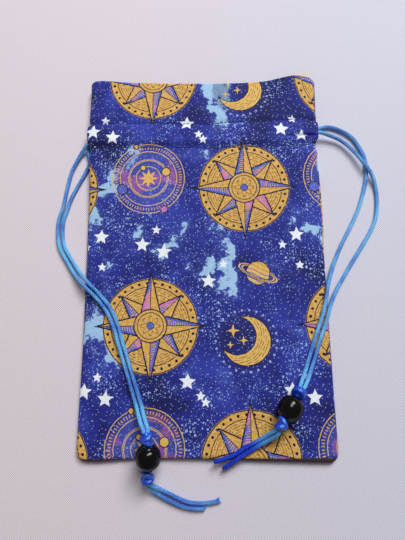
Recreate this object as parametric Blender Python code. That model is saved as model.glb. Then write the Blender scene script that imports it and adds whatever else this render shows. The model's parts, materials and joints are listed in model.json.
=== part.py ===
"""Kinchaku drawstring pouch, empty and lying flat on its back.

Two cloth panels meet in a seam at the sides and the bottom, and the mouth is open at +Y. A facing
inside each panel makes a casing between two rows of stitches. Two satin drawstrings run right round
through the casing. Each one turns back at the far side and leaves with both ends at its own side,
where the ends run over the front, pass through a knot, a barrel bead and a second knot, and end in
two tails.

Frame: origin under the middle of the cloth, +X to the right, +Y to the mouth, +Z up from the back
panel, which rests on z = 0.
"""

import math

import bmesh
import bpy
import numpy as np
from mathutils import Matrix, Vector

MM = 0.001

# Cloth body
POUCH_WIDTH = 127 * MM
POUCH_LENGTH = 202 * MM
CLOTH = 0.35 * MM
CORNER_RADIUS = 5 * MM
BOTTOM_THICKNESS = 3.2 * MM
MIDDLE_THICKNESS = 3.5 * MM
MOUTH_OPENING = 4.4 * MM
SEAM_ROUNDING = 0.3 * MM
SEAM_GAP = 0.5 * MM

# Casing for the drawstrings, measured down from the mouth
HEADER = 24 * MM
CASING = 15 * MM
CASING_SLOPE = 2.4 * MM
CASING_INSIDE_GAP = 0.4 * MM
STITCH_DIP = 0.4 * MM
LOWER_STITCH_THICKNESS = 5.6 * MM
FACING_INSET = 4 * MM
FACING_HEM = 1.8 * MM
OPENING_NOTCH = 2.4 * MM
OPENING_DROP = 0.5 * MM
PUCKER_DEPTH = 1.6 * MM
PUCKER_REACH = 4 * MM

# The left seam rides over the drawstring that comes out under it
RIDE_BELOW_CASING = 7.5 * MM
RIDE_REACH = 7 * MM
RIDE_HEIGHT = 1.3 * MM
RIDE_ROLL = 7.5 * MM

# Thread
THREAD_DIAMETER = 0.3 * MM
THREAD_TAIL = 3.8 * MM
THREAD_TAIL_BENDS = ((0.5, 0.2 * MM, 0.1 * MM), (1, 0.5 * MM, 0.7 * MM))
THREAD_SHORT = 1 * MM
TABLE_GAP = 0.02 * MM

# Drawstrings, knots and beads
CORD_DIAMETER = 2.0 * MM
CLEARANCE = 0.3 * MM
KNOT_LENGTH = 6.8 * MM
KNOT_WIDTH = 7.4 * MM
BEAD_DIAMETER = 12.2 * MM
BEAD_LENGTH = 11.6 * MM
BEAD_BORE = 5.0 * MM
BEAD_SQUARENESS = 2.4
BEAD_MOUTH_ROUNDING = 0.5 * MM

# Where the beads lie: (x, y) of the middle, lift over touching the cloth, and axis towards the tails
LEFT_BEAD_PLACE = (-27.2 * MM, -97.8 * MM)
LEFT_BEAD_LIFT = 0.4 * MM
LEFT_BEAD_AXIS = (0, -0.951, -0.309)
RIGHT_BEAD_PLACE = (40.6 * MM, -76.2 * MM)
RIGHT_BEAD_LIFT = 0.15 * MM
RIGHT_BEAD_AXIS = (-0.538, -0.817, 0.208)

# Where the knots lie: gap from each end of the bead, below 0 inside its bore, and shift off its axis
KNOT_SEAT = -0.3 * MM
LEFT_LOWER_KNOT_SEAT = 0.7 * MM
LEFT_UPPER_KNOT_SHIFT = (-0.6 * MM, 0, 0)
LEFT_LOWER_KNOT_SHIFT = (-0.6 * MM, 0, -0.4 * MM)
NO_SHIFT = (0, 0, 0)

# Heights and places that follow from the sizes above
TOP = POUCH_LENGTH / 2
BOTTOM = -POUCH_LENGTH / 2
HALF_WIDTH = POUCH_WIDTH / 2
UPPER_STITCH = TOP - HEADER
LOWER_STITCH = UPPER_STITCH - CASING
CHANNEL = CORD_DIAMETER + 2 * CLEARANCE
TWO_LAYERS = 2 * CLOTH + CLEARANCE
HEADER_THICKNESS = 2 * TWO_LAYERS + MOUTH_OPENING
BACK_FACING_CREST = CLOTH + CHANNEL + CLOTH
CASING_THICKNESS = 2 * BACK_FACING_CREST + CASING_INSIDE_GAP
STITCH_GROOVE = THREAD_DIAMETER + 1.3 * CLEARANCE
CORD_RADIUS = CORD_DIAMETER / 2
FRONT_CHANNEL_HEIGHT = CASING_THICKNESS - CLOTH - CHANNEL / 2
BACK_CHANNEL_HEIGHT = CLOTH + CHANNEL / 2
SEAM_ALLOWANCE = CLOTH / 2 + THREAD_DIAMETER / 2 + 1.8 * CLEARANCE

# The drawstrings' rows in the casing, measured up from the lower stitch line
LEFT_ROW_RISE = 3.5 * MM
RIGHT_FRONT_ROW_RISE = 7.4 * MM
RIGHT_BACK_ROW_RISE = 10.8 * MM
CASING_END = HALF_WIDTH - 3 * MM

# Where a drawstring turns back at the far side: how far past the turn's start, and how far up or down
TURN_RUN_IN = 4 * MM
TURN_START = 0.6 * MM
TURN_BEND = 2.1 * MM
TURN_FAR = 2.5 * MM
TURN_STEP = 0.9 * MM

# Longest stretch between two points of a tube
CORD_STEP = 6 * MM
THREAD_STEP = 30 * MM
MARGIN_COLUMN = 2 * MM

PRINT_BLUE = (0.030, 0.035, 0.220)
LINING_BLUE = (0.028, 0.032, 0.180)
THREAD_BLACK = (0.010, 0.008, 0.016)
SATIN_BLUE = (0.030, 0.200, 0.680)
BEAD_BLACK = (0.004, 0.004, 0.005)


def clear_scene():
    for obj in list(bpy.data.objects):
        bpy.data.objects.remove(obj, do_unlink=True)


def material(name, colour, roughness):
    """A plain Principled material, made once for each name."""
    made = bpy.data.materials.get(name)
    if made is None:
        made = bpy.data.materials.new(name)
        made.use_nodes = True
        shader = made.node_tree.nodes["Principled BSDF"]
        shader.inputs["Base Color"].default_value = (*colour, 1)
        shader.inputs["Roughness"].default_value = roughness
        shader.inputs["Metallic"].default_value = 0
    return made


def add_object(name, data, finish):
    obj = bpy.data.objects.new(name, data)
    bpy.context.scene.collection.objects.link(obj)
    data.materials.append(finish)
    return obj


def eased(value, knots):
    """Height at a place along knots of (place, height), with a smooth step from each to the next."""
    places = [knot[0] for knot in knots]
    index = int(np.clip(np.searchsorted(places, value) - 1, 0, len(knots) - 2))
    (low, start), (high, end) = knots[index], knots[index + 1]
    part = min(max((value - low) / (high - low), 0), 1)
    return start + (end - start) * part * part * (3 - 2 * part)


def swell(value, middle, reach):
    """A smooth hump: 1 at the middle and 0 from reach away."""
    away = abs(value - middle) / reach
    return 0.0 if away >= 1 else (1 - away * away) ** 2


def quarter_round(distance, radius):
    """Rise of a quarter ellipse from 0 at the edge to 1 at radius from it."""
    inward = max(1 - distance / radius, 0)
    return math.sqrt(1 - inward * inward)


def front_height(y):
    """Top face of the front panel, away from its edges."""
    return eased(
        y,
        [
            (BOTTOM, BOTTOM_THICKNESS),
            (0, MIDDLE_THICKNESS),
            (LOWER_STITCH, LOWER_STITCH_THICKNESS),
            (LOWER_STITCH + CASING_SLOPE, CASING_THICKNESS),
            (UPPER_STITCH - CASING_SLOPE, CASING_THICKNESS),
            (UPPER_STITCH, HEADER_THICKNESS - STITCH_DIP),
            (UPPER_STITCH + CASING_SLOPE, HEADER_THICKNESS),
            (TOP, HEADER_THICKNESS),
        ],
    )


def front_facing_height(y):
    """Top face of the front facing: held to the panel at both stitch lines, and sunk between them."""
    held = front_height(y) - CLOTH - CLEARANCE
    sunk = CASING_THICKNESS - CLOTH - CHANNEL
    depth = eased(
        y,
        [
            (LOWER_STITCH, 0),
            (LOWER_STITCH + CASING_SLOPE, 1),
            (UPPER_STITCH - CASING_SLOPE, 1),
            (UPPER_STITCH, 0),
        ],
    )
    return held + (sunk - held) * depth


def groove(y):
    """Rise of the back panel over the threads that hold it, so that they lie above the table."""
    nearness = max(swell(y, line, CASING_SLOPE / 2) for line in (LOWER_STITCH, UPPER_STITCH))
    return STITCH_GROOVE * nearness


def back_facing_height(y):
    """Underside of the back facing, raised over the drawstrings between the stitch lines."""
    held = CLOTH + CLEARANCE
    crest = CLOTH + CHANNEL
    depth = eased(
        y,
        [
            (LOWER_STITCH, 0),
            (LOWER_STITCH + CASING_SLOPE, 1),
            (UPPER_STITCH - CASING_SLOPE, 1),
            (UPPER_STITCH, 0),
        ],
    )
    return held + groove(y) + (crest - held) * depth


def side_opening(y):
    """1 where the side seam is left open for the drawstrings, and 0 where it is sewn."""
    return eased(
        y,
        [
            (LOWER_STITCH + 0.3 * CASING_SLOPE, 0),
            (LOWER_STITCH + CASING_SLOPE, 1),
            (UPPER_STITCH - CASING_SLOPE, 1),
            (UPPER_STITCH - 0.3 * CASING_SLOPE, 0),
        ],
    )


def seam_ride(y, side):
    """How far the seam rides up over a drawstring, from 0 to 1. Only the left side does."""
    return swell(y, LOWER_STITCH - RIDE_BELOW_CASING, RIDE_REACH) if side < 0 else 0.0


def seam_height(y, side):
    return front_height(y) / 2 + RIDE_HEIGHT * seam_ride(y, side)


def edge_inset(y, side):
    """The right edge is drawn in by a pucker at the lower stitch line."""
    return PUCKER_DEPTH * swell(y, LOWER_STITCH, PUCKER_REACH) if side > 0 else 0.0


def corner_shift(dx, dy):
    """Moves a point given by its distances from the side and the bottom onto the rounded corner.

    Returns its new distances from the side and the bottom, and from the outline itself.
    """
    across = min(max(1 - dx / CORNER_RADIUS, 0), 1)
    up = min(max(1 - dy / CORNER_RADIUS, 0), 1)
    if across == 0 or up == 0:
        return dx, dy, min(dx, dy)
    round_across = across * math.sqrt(1 - up * up / 2)
    round_up = up * math.sqrt(1 - across * across / 2)
    reach = math.hypot(round_across, round_up)
    return (
        CORNER_RADIUS * (1 - round_across),
        CORNER_RADIUS * (1 - round_up),
        CORNER_RADIUS * (1 - reach),
    )


def grid_mesh(name, rows):
    """A mesh of quads over rows of points."""
    mesh = bpy.data.meshes.new(name)
    wide = len(rows[0])
    points = [point for row in rows for point in row]
    faces = []
    for i in range(len(rows) - 1):
        for j in range(wide - 1):
            start = i * wide + j
            faces.append((start, start + 1, start + wide + 1, start + wide))
    mesh.from_pydata(points, [], faces)
    mesh.update()
    return mesh


def add_cloth(name, rows, facing_up, finish):
    """One sheet of cloth: its middle surface as rows of points, given its thickness by Solidify."""
    obj = add_object(name, grid_mesh(name, rows), finish)
    if not facing_up:
        obj.data.flip_normals()
    obj.data.shade_smooth()
    solid = obj.modifiers.new("cloth_thickness", "SOLIDIFY")
    solid.thickness = CLOTH
    solid.offset = 0
    solid.use_even_offset = True
    return obj


ROLL_STEPS = [1 - math.cos(math.radians(angle)) for angle in (0, 32, 62, 90)]
BODY_ROWS = (0.12, 0.32, 0.52, 0.70, 0.82)
RIDE_ROWS = (-0.8, -0.4, 0.0, 0.4, 0.75)
HEADER_ROWS = (0.3, 0.65, 1)
SLOPE_PARTS = (-0.5, 0, 0.3, 0.65, 1)
MIDDLE_COLUMNS = 6


def panel_row_places():
    """Places of the rows of points along Y, close together where the cloth bends."""
    roll = BOTTOM_THICKNESS / 2 + SEAM_ROUNDING
    rows = [BOTTOM + roll * step for step in ROLL_STEPS]
    rows.append(BOTTOM + CORNER_RADIUS)
    rows += [BOTTOM + (LOWER_STITCH - BOTTOM) * part for part in BODY_ROWS]
    ride_middle = LOWER_STITCH - RIDE_BELOW_CASING
    rows += [ride_middle + RIDE_REACH * part for part in RIDE_ROWS]
    for line, way in ((LOWER_STITCH, 1), (UPPER_STITCH, -1)):
        rows += [line + way * CASING_SLOPE * part for part in SLOPE_PARTS]
    rows.append((LOWER_STITCH + UPPER_STITCH) / 2)
    rows += [UPPER_STITCH + HEADER * part for part in HEADER_ROWS]
    rows.append(UPPER_STITCH + CASING_SLOPE)
    return sorted(rows)


def panel_columns(y, rides):
    """Distances of the columns from the left edge, in one row: a roll at each side, and a flat middle."""
    base = front_height(y) / 2 + SEAM_ROUNDING
    left = base + (RIDE_ROLL * seam_ride(y, -1) if rides else 0)
    starts = [left * step for step in ROLL_STEPS]
    ends = [POUCH_WIDTH - base * step for step in reversed(ROLL_STEPS)]
    starts.append(max(left, CORNER_RADIUS) + MARGIN_COLUMN)
    ends.insert(0, POUCH_WIDTH - max(base, CORNER_RADIUS) - MARGIN_COLUMN)
    middle = np.linspace(starts[-1], ends[0], MIDDLE_COLUMNS + 1)[1:-1]
    return [*starts, *middle.tolist(), *ends], left, base


def panel_rows(flat_height, seam_side, open_height, notch, rides):
    """Rows of points on the middle surface of one outer panel.

    flat_height(y) is its height away from the edges, seam_side is +1 above the seam and -1 below it,
    open_height(y) is its edge's height at the side openings, and notch is how far that edge is drawn in.
    """
    rows = []
    for nominal_y in panel_row_places():
        columns, left_roll, right_roll = panel_columns(nominal_y, rides)
        row = []
        for from_left in columns:
            side = -1 if from_left < HALF_WIDTH else 1
            to_side = from_left if side < 0 else POUCH_WIDTH - from_left
            roll = left_roll if side < 0 else right_roll
            dx, dy, away = corner_shift(to_side, nominal_y - BOTTOM)
            in_corner = away < min(dx, dy)
            bottom_roll = BOTTOM_THICKNESS / 2 + SEAM_ROUNDING
            if in_corner:
                rise = quarter_round(away, bottom_roll)
            else:
                rise = min(quarter_round(dx, roll), quarter_round(dy, bottom_roll))
            y = BOTTOM + dy
            opening = side_opening(y)
            fade = max(1 - dx / (3 * roll), 0)
            inset = (edge_inset(y, side) + notch * opening) * fade
            seam = seam_height(y, side) + seam_side * SEAM_GAP / 2
            edge = seam + (open_height(y) - seam) * opening
            flat = flat_height(y)
            row.append((side * (HALF_WIDTH - dx - inset), y, edge + (flat - edge) * rise))
        rows.append(row)
    return rows


def add_outer_panels(finish):
    """The front and back of the pouch, which meet at the seam half way up."""
    half = CLOTH / 2

    def front_flat(y):
        return front_height(y) - half

    def front_open(y):
        return front_height(y) - half - OPENING_DROP

    def back_flat(y):
        return half + groove(y)

    def back_open(y):
        return half

    front = panel_rows(front_flat, 1, front_open, 0, False)
    back = panel_rows(back_flat, -1, back_open, OPENING_NOTCH, True)
    add_cloth("front_panel", front, True, finish)
    add_cloth("back_panel", back, False, finish)


def add_facings(finish):
    """The inner strips that close the casing. Each runs from the mouth to just below the lower stitches."""
    half = CLOTH / 2
    places = [LOWER_STITCH - FACING_HEM, UPPER_STITCH + CASING_SLOPE, TOP - 2 * CLEARANCE]
    for line, way in ((LOWER_STITCH, 1), (UPPER_STITCH, -1)):
        places += [line + way * CASING_SLOPE * part for part in SLOPE_PARTS]
    places.sort()
    across = np.linspace(-1, 1, 5) * (HALF_WIDTH - FACING_INSET)
    front = [[(x, y, front_facing_height(y) - half) for x in across] for y in places]
    back = [[(x, y, back_facing_height(y) + half) for x in across] for y in places]
    add_cloth("front_casing_facing", front, True, finish)
    add_cloth("back_casing_facing", back, False, finish)


def smooth_route(points, spacing):
    """Points at most spacing apart on a smooth curve through the route's own points.

    Each stretch is a Catmull-Rom cubic, whose tangent at a point is half the way from the point before
    it to the point after it, scaled to the stretch's length.
    """
    route = [Vector(point) for point in points]
    if len(route) == 2:
        return route
    ends = [2 * route[0] - route[1], *route, 2 * route[-1] - route[-2]]
    found = [route[0]]
    for before, start, end, after in zip(ends, ends[1:], ends[2:], ends[3:]):
        stretch = (end - start).length
        leave = (end - before).normalized() * stretch
        arrive = (after - start).normalized() * stretch
        count = max(1, math.ceil(stretch / spacing))
        for step in range(1, count + 1):
            t = step / count
            found.append(
                start * (2 * t**3 - 3 * t**2 + 1)
                + leave * (t**3 - 2 * t**2 + t)
                + end * (3 * t**2 - 2 * t**3)
                + arrive * (t**3 - t**2)
            )
    return found


def add_tube(name, points, diameter, spacing, finish):
    """A cord or thread: a round tube with filled ends along a smooth route."""
    curve = bpy.data.curves.new(name, "CURVE")
    curve.dimensions = "3D"
    curve.bevel_depth = diameter / 2
    curve.bevel_resolution = 2
    curve.use_fill_caps = True
    path = smooth_route(points, spacing)
    spline = curve.splines.new("POLY")
    spline.points.add(len(path) - 1)
    for point, place in zip(spline.points, path):
        point.co = (*place, 1)
    return add_object(name, curve, finish)


def add_stitches(finish):
    """Four rows of stitches that hold the facings, and the seam's own thread inside the pouch."""
    radius = THREAD_DIAMETER / 2
    reach = HALF_WIDTH - FACING_INSET
    for word, line in (("lower", LOWER_STITCH), ("upper", UPPER_STITCH)):
        height = front_height(line) + CLEARANCE + radius
        front = [(-reach, line, height), (0, line, height), (reach - THREAD_SHORT, line, height)]
        if word == "upper":
            for part, rise, drop in THREAD_TAIL_BENDS:
                front.append((reach + THREAD_TAIL * part, line + rise, height - drop))
        add_tube(f"{word}_stitches_front", front, THREAD_DIAMETER, THREAD_STEP, finish)
        low = radius + TABLE_GAP
        back = [(-reach, line, low), (0, line, low), (reach, line, low)]
        add_tube(f"{word}_stitches_back", back, THREAD_DIAMETER, THREAD_STEP, finish)


def seam_point(side, y):
    """A place on the seam's thread, just inside the edge."""
    return (side * (HALF_WIDTH - edge_inset(y, side) - SEAM_ALLOWANCE), y, seam_height(y, side))


def add_seam_threads(finish):
    """The thread that joins the panels: round the sides and bottom, and beside the header."""
    top = LOWER_STITCH - 0.4 * CASING_SLOPE
    ride = [LOWER_STITCH - RIDE_BELOW_CASING + RIDE_REACH * part for part in (0.6, 0.3, 0, -0.4, -0.8)]
    down = [seam_point(-1, y) for y in [top, *ride, 0, BOTTOM + 2 * CORNER_RADIUS, BOTTOM + CORNER_RADIUS]]
    low = seam_height(BOTTOM, -1)
    radius = CORNER_RADIUS - SEAM_ALLOWANCE
    corner = []
    for angle in (30, 60, 90):
        turn = math.radians(angle)
        across = HALF_WIDTH - CORNER_RADIUS + radius * math.cos(turn)
        corner.append((across, BOTTOM + CORNER_RADIUS - radius * math.sin(turn), low))
    bottom = [(-x, y, z) for x, y, z in corner] + list(reversed(corner))
    near = [LOWER_STITCH - PUCKER_REACH * part for part in (0.5, 0.8, 1)]
    rising = [BOTTOM + CORNER_RADIUS, BOTTOM + 2 * CORNER_RADIUS, 0, *reversed(near), top]
    up = [seam_point(1, y) for y in rising]
    add_tube("body_seam_thread", down + bottom + up, THREAD_DIAMETER, THREAD_STEP, finish)
    for side, word in ((-1, "left"), (1, "right")):
        places = [UPPER_STITCH + 0.4 * CASING_SLOPE, UPPER_STITCH + HEADER / 2, TOP - CLEARANCE]
        header = [seam_point(side, y) for y in places]
        add_tube(f"{word}_header_seam_thread", header, THREAD_DIAMETER, THREAD_STEP, finish)


def add_casing_cord(name, side, front_row, back_row, finish):
    """A drawstring's hidden stretch: in along the front channel, back at the far side, out along the back."""
    turn = -side * (HALF_WIDTH - FACING_INSET)
    middle = (FRONT_CHANNEL_HEIGHT + BACK_CHANNEL_HEIGHT) / 2
    between = (front_row + back_row) / 2
    route = [
        (side * CASING_END, front_row, FRONT_CHANNEL_HEIGHT),
        (turn + side * TURN_RUN_IN, front_row, FRONT_CHANNEL_HEIGHT),
        (turn - side * TURN_START, front_row, FRONT_CHANNEL_HEIGHT),
        (turn - side * TURN_BEND, front_row, FRONT_CHANNEL_HEIGHT - TURN_STEP),
        (turn - side * TURN_FAR, between, middle),
        (turn - side * TURN_BEND, back_row, BACK_CHANNEL_HEIGHT + TURN_STEP),
        (turn - side * TURN_START, back_row, BACK_CHANNEL_HEIGHT),
        (turn + side * TURN_RUN_IN, back_row, BACK_CHANNEL_HEIGHT),
        (side * CASING_END, back_row, BACK_CHANNEL_HEIGHT),
    ]
    add_tube(name, route, CORD_DIAMETER, CORD_STEP, finish)


def bead_frame(place, lift, axis):
    """Matrix that puts a bead's own +Z along its axis, with its belly just above the cloth."""
    height = front_height(place[1]) + CLEARANCE + BEAD_DIAMETER / 2 + lift
    along = Vector(axis).normalized()
    turn = Vector((0, 0, 1)).rotation_difference(along).to_matrix().to_4x4()
    return Matrix.Translation((*place, height)) @ turn


def bead_mesh():
    """A barrel bead: a superellipse turned about Z, with a bore through it and rounded bore mouths."""
    bore = BEAD_BORE / 2
    profile = []
    power = 2 / BEAD_SQUARENESS
    for angle in range(-90, 91, 12):
        turn = math.radians(angle)
        radius = BEAD_DIAMETER / 2 * math.cos(turn) ** power
        height = math.copysign(abs(math.sin(turn)) ** power, turn) * BEAD_LENGTH / 2
        if radius > bore + 2 * BEAD_MOUTH_ROUNDING:
            profile.append((radius, height))
    end = BEAD_LENGTH / 2
    profile.append((bore + BEAD_MOUTH_ROUNDING, end))
    profile.append((bore, end - BEAD_MOUTH_ROUNDING))
    profile.append((bore, BEAD_MOUTH_ROUNDING - end))
    profile.append((bore + BEAD_MOUTH_ROUNDING, -end))
    sides = 24
    form = bmesh.new()
    rings = []
    for radius, height in profile:
        angles = [2 * math.pi * step / sides for step in range(sides)]
        rings.append([form.verts.new((radius * math.cos(a), radius * math.sin(a), height)) for a in angles])
    for ring, above in zip(rings, rings[1:] + rings[:1]):
        for step in range(sides):
            after = (step + 1) % sides
            form.faces.new((ring[step], ring[after], above[after], above[step]))
    bmesh.ops.recalc_face_normals(form, faces=form.faces)
    mesh = bpy.data.meshes.new("bead")
    form.to_mesh(mesh)
    form.free()
    mesh.shade_smooth()
    mesh.set_sharp_from_angle(angle=math.radians(40))
    return mesh


def knot_mesh():
    """A pulled overhand knot: a rounded lump with the cord's turns as three slanting lobes."""
    lobes = 3
    twist = 1.3
    depth = 0.09
    sides = 18
    rings = 9
    form = bmesh.new()
    ends = [form.verts.new((0, 0, way * KNOT_LENGTH / 2)) for way in (-1, 1)]
    loops = []
    for ring in range(1, rings):
        turn = math.pi * ring / rings
        height = -math.cos(turn) * KNOT_LENGTH / 2
        loop = []
        for step in range(sides):
            angle = 2 * math.pi * step / sides
            ridge = math.cos(lobes * (angle + twist * math.cos(turn)))
            radius = KNOT_WIDTH / 2 * math.sin(turn) ** 0.75 * (1 - depth + depth * ridge)
            loop.append(form.verts.new((radius * math.cos(angle), radius * math.sin(angle), height)))
        loops.append(loop)
    for step in range(sides):
        after = (step + 1) % sides
        form.faces.new((ends[0], loops[0][after], loops[0][step]))
        form.faces.new((ends[1], loops[-1][step], loops[-1][after]))
        for loop, above in zip(loops, loops[1:]):
            form.faces.new((loop[step], loop[after], above[after], above[step]))
    bmesh.ops.recalc_face_normals(form, faces=form.faces)
    mesh = bpy.data.meshes.new("knot")
    form.to_mesh(mesh)
    form.free()
    mesh.shade_smooth()
    return mesh


def add_bead_and_knots(side, frame, places, meshes, cord, bead_finish):
    """A bead, the knot at each of its ends and the two strands inside it, which run from knot to knot.

    places holds the gap and the shift of the upper and the lower knot.
    """
    beads, knots = meshes
    bead = add_object(f"bead_{side}", beads, bead_finish)
    bead.matrix_world = frame
    reaches = []
    for word, way, (gap, shift) in zip(("upper", "lower"), (-1, 1), places):
        knot = add_object(f"{word}_knot_{side}", knots.copy(), cord)
        along = BEAD_LENGTH / 2 + gap + KNOT_LENGTH / 2
        knot.matrix_world = Matrix.Translation(shift) @ frame @ Matrix.Translation((0, 0, way * along))
        reaches.append(way * (BEAD_LENGTH / 2 + gap - CLEARANCE))
    across = frame.to_3x3() @ Vector((0, 0, 1))
    beside = across.cross(Vector((0, 0, 1))).normalized() * (CORD_RADIUS + CLEARANCE / 2)
    for number, offset in ((1, -beside), (2, beside)):
        ends = [frame @ Vector((0, 0, reach)) + offset for reach in reaches]
        add_tube(f"strand_{number}_in_bead_{side}", ends, CORD_DIAMETER, CORD_STEP, cord)


# Routes of the free stretches, in millimetres, from each side opening to the upper knot
LEFT_STRAND_1 = [
    (-60.9, 65.5, 5.35), (-62.4, 65.5, 5.15), (-64.4, 64.9, 4.3), (-66.8, 62.7, 2.9), (-69.5, 58.9, 1.7),
    (-73.6, 50.2, 1.1), (-75.8, 39.6, 1.05), (-77.2, 30.1, 1.05), (-79.4, 21.3, 1.05), (-78.4, 7.9, 1.05),
    (-73.1, -2.1, 1.1), (-69.8, -7.2, 1.7), (-66.6, -11.2, 3.2), (-64.0, -14.0, 4.4), (-61.0, -16.8, 5.0),
    (-56.7, -20.9, 4.8), (-50.9, -27.9, 4.8), (-46.8, -36.3, 4.75), (-44.0, -45.3, 4.75),
    (-40.9, -54.3, 4.7), (-37.4, -65.2, 4.7), (-34.6, -73.8, 5.1), (-32.5, -79.6, 7.6), (-30.9, -82.9, 10.4),
    (-29.3, -85.5, 12.3),
]
LEFT_STRAND_2 = [
    (-60.9, 65.5, 1.65), (-62.4, 65.6, 1.65), (-64.2, 64.8, 1.5), (-65.0, 62.4, 1.25), (-64.5, 59.2, 1.1),
    (-63.7, 55.5, 1.1), (-65.2, 51.0, 1.1), (-68.8, 43.6, 1.05), (-72.7, 35.6, 1.05), (-74.7, 29.1, 1.05),
    (-76.9, 20.9, 1.05), (-75.9, 8.6, 1.05), (-70.9, -0.7, 1.1), (-67.6, -5.4, 2.0), (-65.0, -8.7, 3.7),
    (-62.6, -11.4, 4.95), (-59.4, -14.7, 5.05), (-54.8, -19.3, 4.8), (-48.7, -26.7, 4.8),
    (-44.5, -35.6, 4.75), (-41.7, -44.7, 4.75), (-38.6, -53.7, 4.7), (-35.1, -64.7, 4.7),
    (-32.1, -73.3, 5.1), (-30.1, -79.0, 7.6), (-28.5, -82.4, 10.4), (-27.2, -84.9, 12.2),
]
RIGHT_STRAND_1 = [
    (60.9, 72.8, 1.65), (62.4, 72.9, 1.65), (65.0, 73.8, 1.4), (70.6, 74.8, 1.1), (77.3, 72.5, 1.05),
    (83.1, 68.3, 1.05), (86.7, 62.7, 1.05), (89.4, 55.3, 1.05), (89.8, 46.7, 1.05), (88.0, 38.2, 1.05),
    (84.2, 27.1, 1.05), (79.2, 17.0, 1.05), (73.2, 6.3, 1.1), (70.1, -0.2, 1.3), (67.4, -6.0, 2.4),
    (65.2, -11.6, 4.0), (63.4, -16.8, 4.9), (62.5, -21.8, 4.8), (61.6, -25.6, 4.8), (58.6, -34.7, 4.75),
    (54.8, -44.6, 4.75), (50.9, -55.4, 4.8), (48.7, -60.8, 5.6), (46.5, -65.4, 7.1),
]
RIGHT_STRAND_2 = [
    (61.0, 69.4, 5.35), (62.5, 69.5, 5.1), (65.2, 69.7, 4.3), (69.5, 68.7, 3.3), (76.4, 65.7, 2.6),
    (82.5, 59.7, 2.8), (87.1, 52.8, 3.45), (89.6, 49.1, 3.5), (91.9, 45.2, 2.7), (94.0, 38.1, 1.15),
    (94.0, 28.4, 1.05), (92.4, 20.2, 1.05), (89.2, 13.5, 1.05), (84.0, 5.4, 1.05), (78.3, -3.1, 1.1),
    (72.6, -11.9, 1.35), (69.0, -17.4, 2.4), (66.3, -22.0, 4.0), (64.1, -26.8, 4.85), (61.2, -35.5, 4.8),
    (57.4, -45.5, 4.75), (53.4, -56.2, 4.8), (51.1, -61.7, 5.6), (48.5, -66.5, 7.1),
]

# Routes of the tails, in millimetres, from the lower knot to the cut end
LEFT_TAIL_1 = [
    (-26.4, -110.8, 5.5), (-24.2, -112.5, 3.9), (-21.3, -114.4, 2.1), (-18.2, -116.1, 1.2),
    (-14.7, -117.8, 1.05), (-10.1, -119.7, 1.05), (-5.5, -120.5, 1.05), (-0.9, -120.5, 1.05),
    (3.7, -119.9, 1.05), (6.7, -119.0, 1.05),
]
LEFT_TAIL_2 = [
    (-28.4, -111.2, 4.6), (-27.0, -113.4, 3.0), (-24.0, -115.9, 1.7), (-19.5, -118.6, 1.1),
    (-14.7, -120.8, 1.05), (-10.1, -122.3, 1.05), (-5.5, -122.9, 1.05), (-0.5, -122.8, 1.05),
]
RIGHT_TAIL_1 = [
    (32.7, -85.9, 10.9), (30.8, -87.6, 8.7), (28.4, -89.5, 6.3), (24.6, -91.9, 4.8), (19.9, -94.3, 4.65),
    (15.2, -97.1, 4.65), (10.6, -99.2, 4.6), (6.0, -100.7, 4.4), (3.5, -101.6, 4.0),
]
RIGHT_TAIL_2 = [
    (34.1, -87.7, 10.8), (32.0, -89.6, 8.4), (29.2, -91.6, 6.2), (24.5, -94.4, 4.8), (19.8, -97.1, 4.65),
    (15.1, -99.9, 4.5), (10.6, -103.0, 3.6), (7.8, -104.7, 2.9),
]

ROUTES = {
    "strand_1_left": LEFT_STRAND_1,
    "strand_2_left": LEFT_STRAND_2,
    "strand_1_right": RIGHT_STRAND_1,
    "strand_2_right": RIGHT_STRAND_2,
    "tail_1_left": LEFT_TAIL_1,
    "tail_2_left": LEFT_TAIL_2,
    "tail_1_right": RIGHT_TAIL_1,
    "tail_2_right": RIGHT_TAIL_2,
}


def add_free_cords(finish):
    for name, route in ROUTES.items():
        points = [Vector(point) * MM for point in route]
        add_tube(name, points, CORD_DIAMETER, CORD_STEP, finish)


def build():
    clear_scene()
    cloth = material("printed_cotton", PRINT_BLUE, 0.85)
    inside = material("plain_cotton", LINING_BLUE, 0.9)
    thread = material("sewing_thread", THREAD_BLACK, 0.7)
    satin = material("satin_cord", SATIN_BLUE, 0.35)
    gloss = material("gloss_bead", BEAD_BLACK, 0.12)
    add_outer_panels(cloth)
    add_facings(inside)
    add_stitches(thread)
    add_seam_threads(thread)
    left_row = LOWER_STITCH + LEFT_ROW_RISE
    front_row, back_row = LOWER_STITCH + RIGHT_FRONT_ROW_RISE, LOWER_STITCH + RIGHT_BACK_ROW_RISE
    add_casing_cord("casing_cord_left", -1, left_row, left_row, satin)
    add_casing_cord("casing_cord_right", 1, front_row, back_row, satin)
    beads = bead_mesh()
    knots = knot_mesh()
    left = bead_frame(LEFT_BEAD_PLACE, LEFT_BEAD_LIFT, LEFT_BEAD_AXIS)
    right = bead_frame(RIGHT_BEAD_PLACE, RIGHT_BEAD_LIFT, RIGHT_BEAD_AXIS)
    left_knots = [(KNOT_SEAT, LEFT_UPPER_KNOT_SHIFT), (LEFT_LOWER_KNOT_SEAT, LEFT_LOWER_KNOT_SHIFT)]
    right_knots = [(KNOT_SEAT, NO_SHIFT), (KNOT_SEAT, NO_SHIFT)]
    add_bead_and_knots("left", left, left_knots, (beads, knots), satin, gloss)
    add_bead_and_knots("right", right, right_knots, (beads.copy(), knots), satin, gloss)
    add_free_cords(satin)


build()
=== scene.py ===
# %% [markdown]
# # A kinchaku pouch, dressed in cloth, cord and beads
#
# The pouch is flat and empty, and it lies on its back on a pale woven cloth. Its solids come from a
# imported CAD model, in metres, with +X to the right, +Y to the mouth and +Z up from the table. This
# lesson keeps their places and gives each one the surface that a hand or an eye would find.

import json

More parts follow.
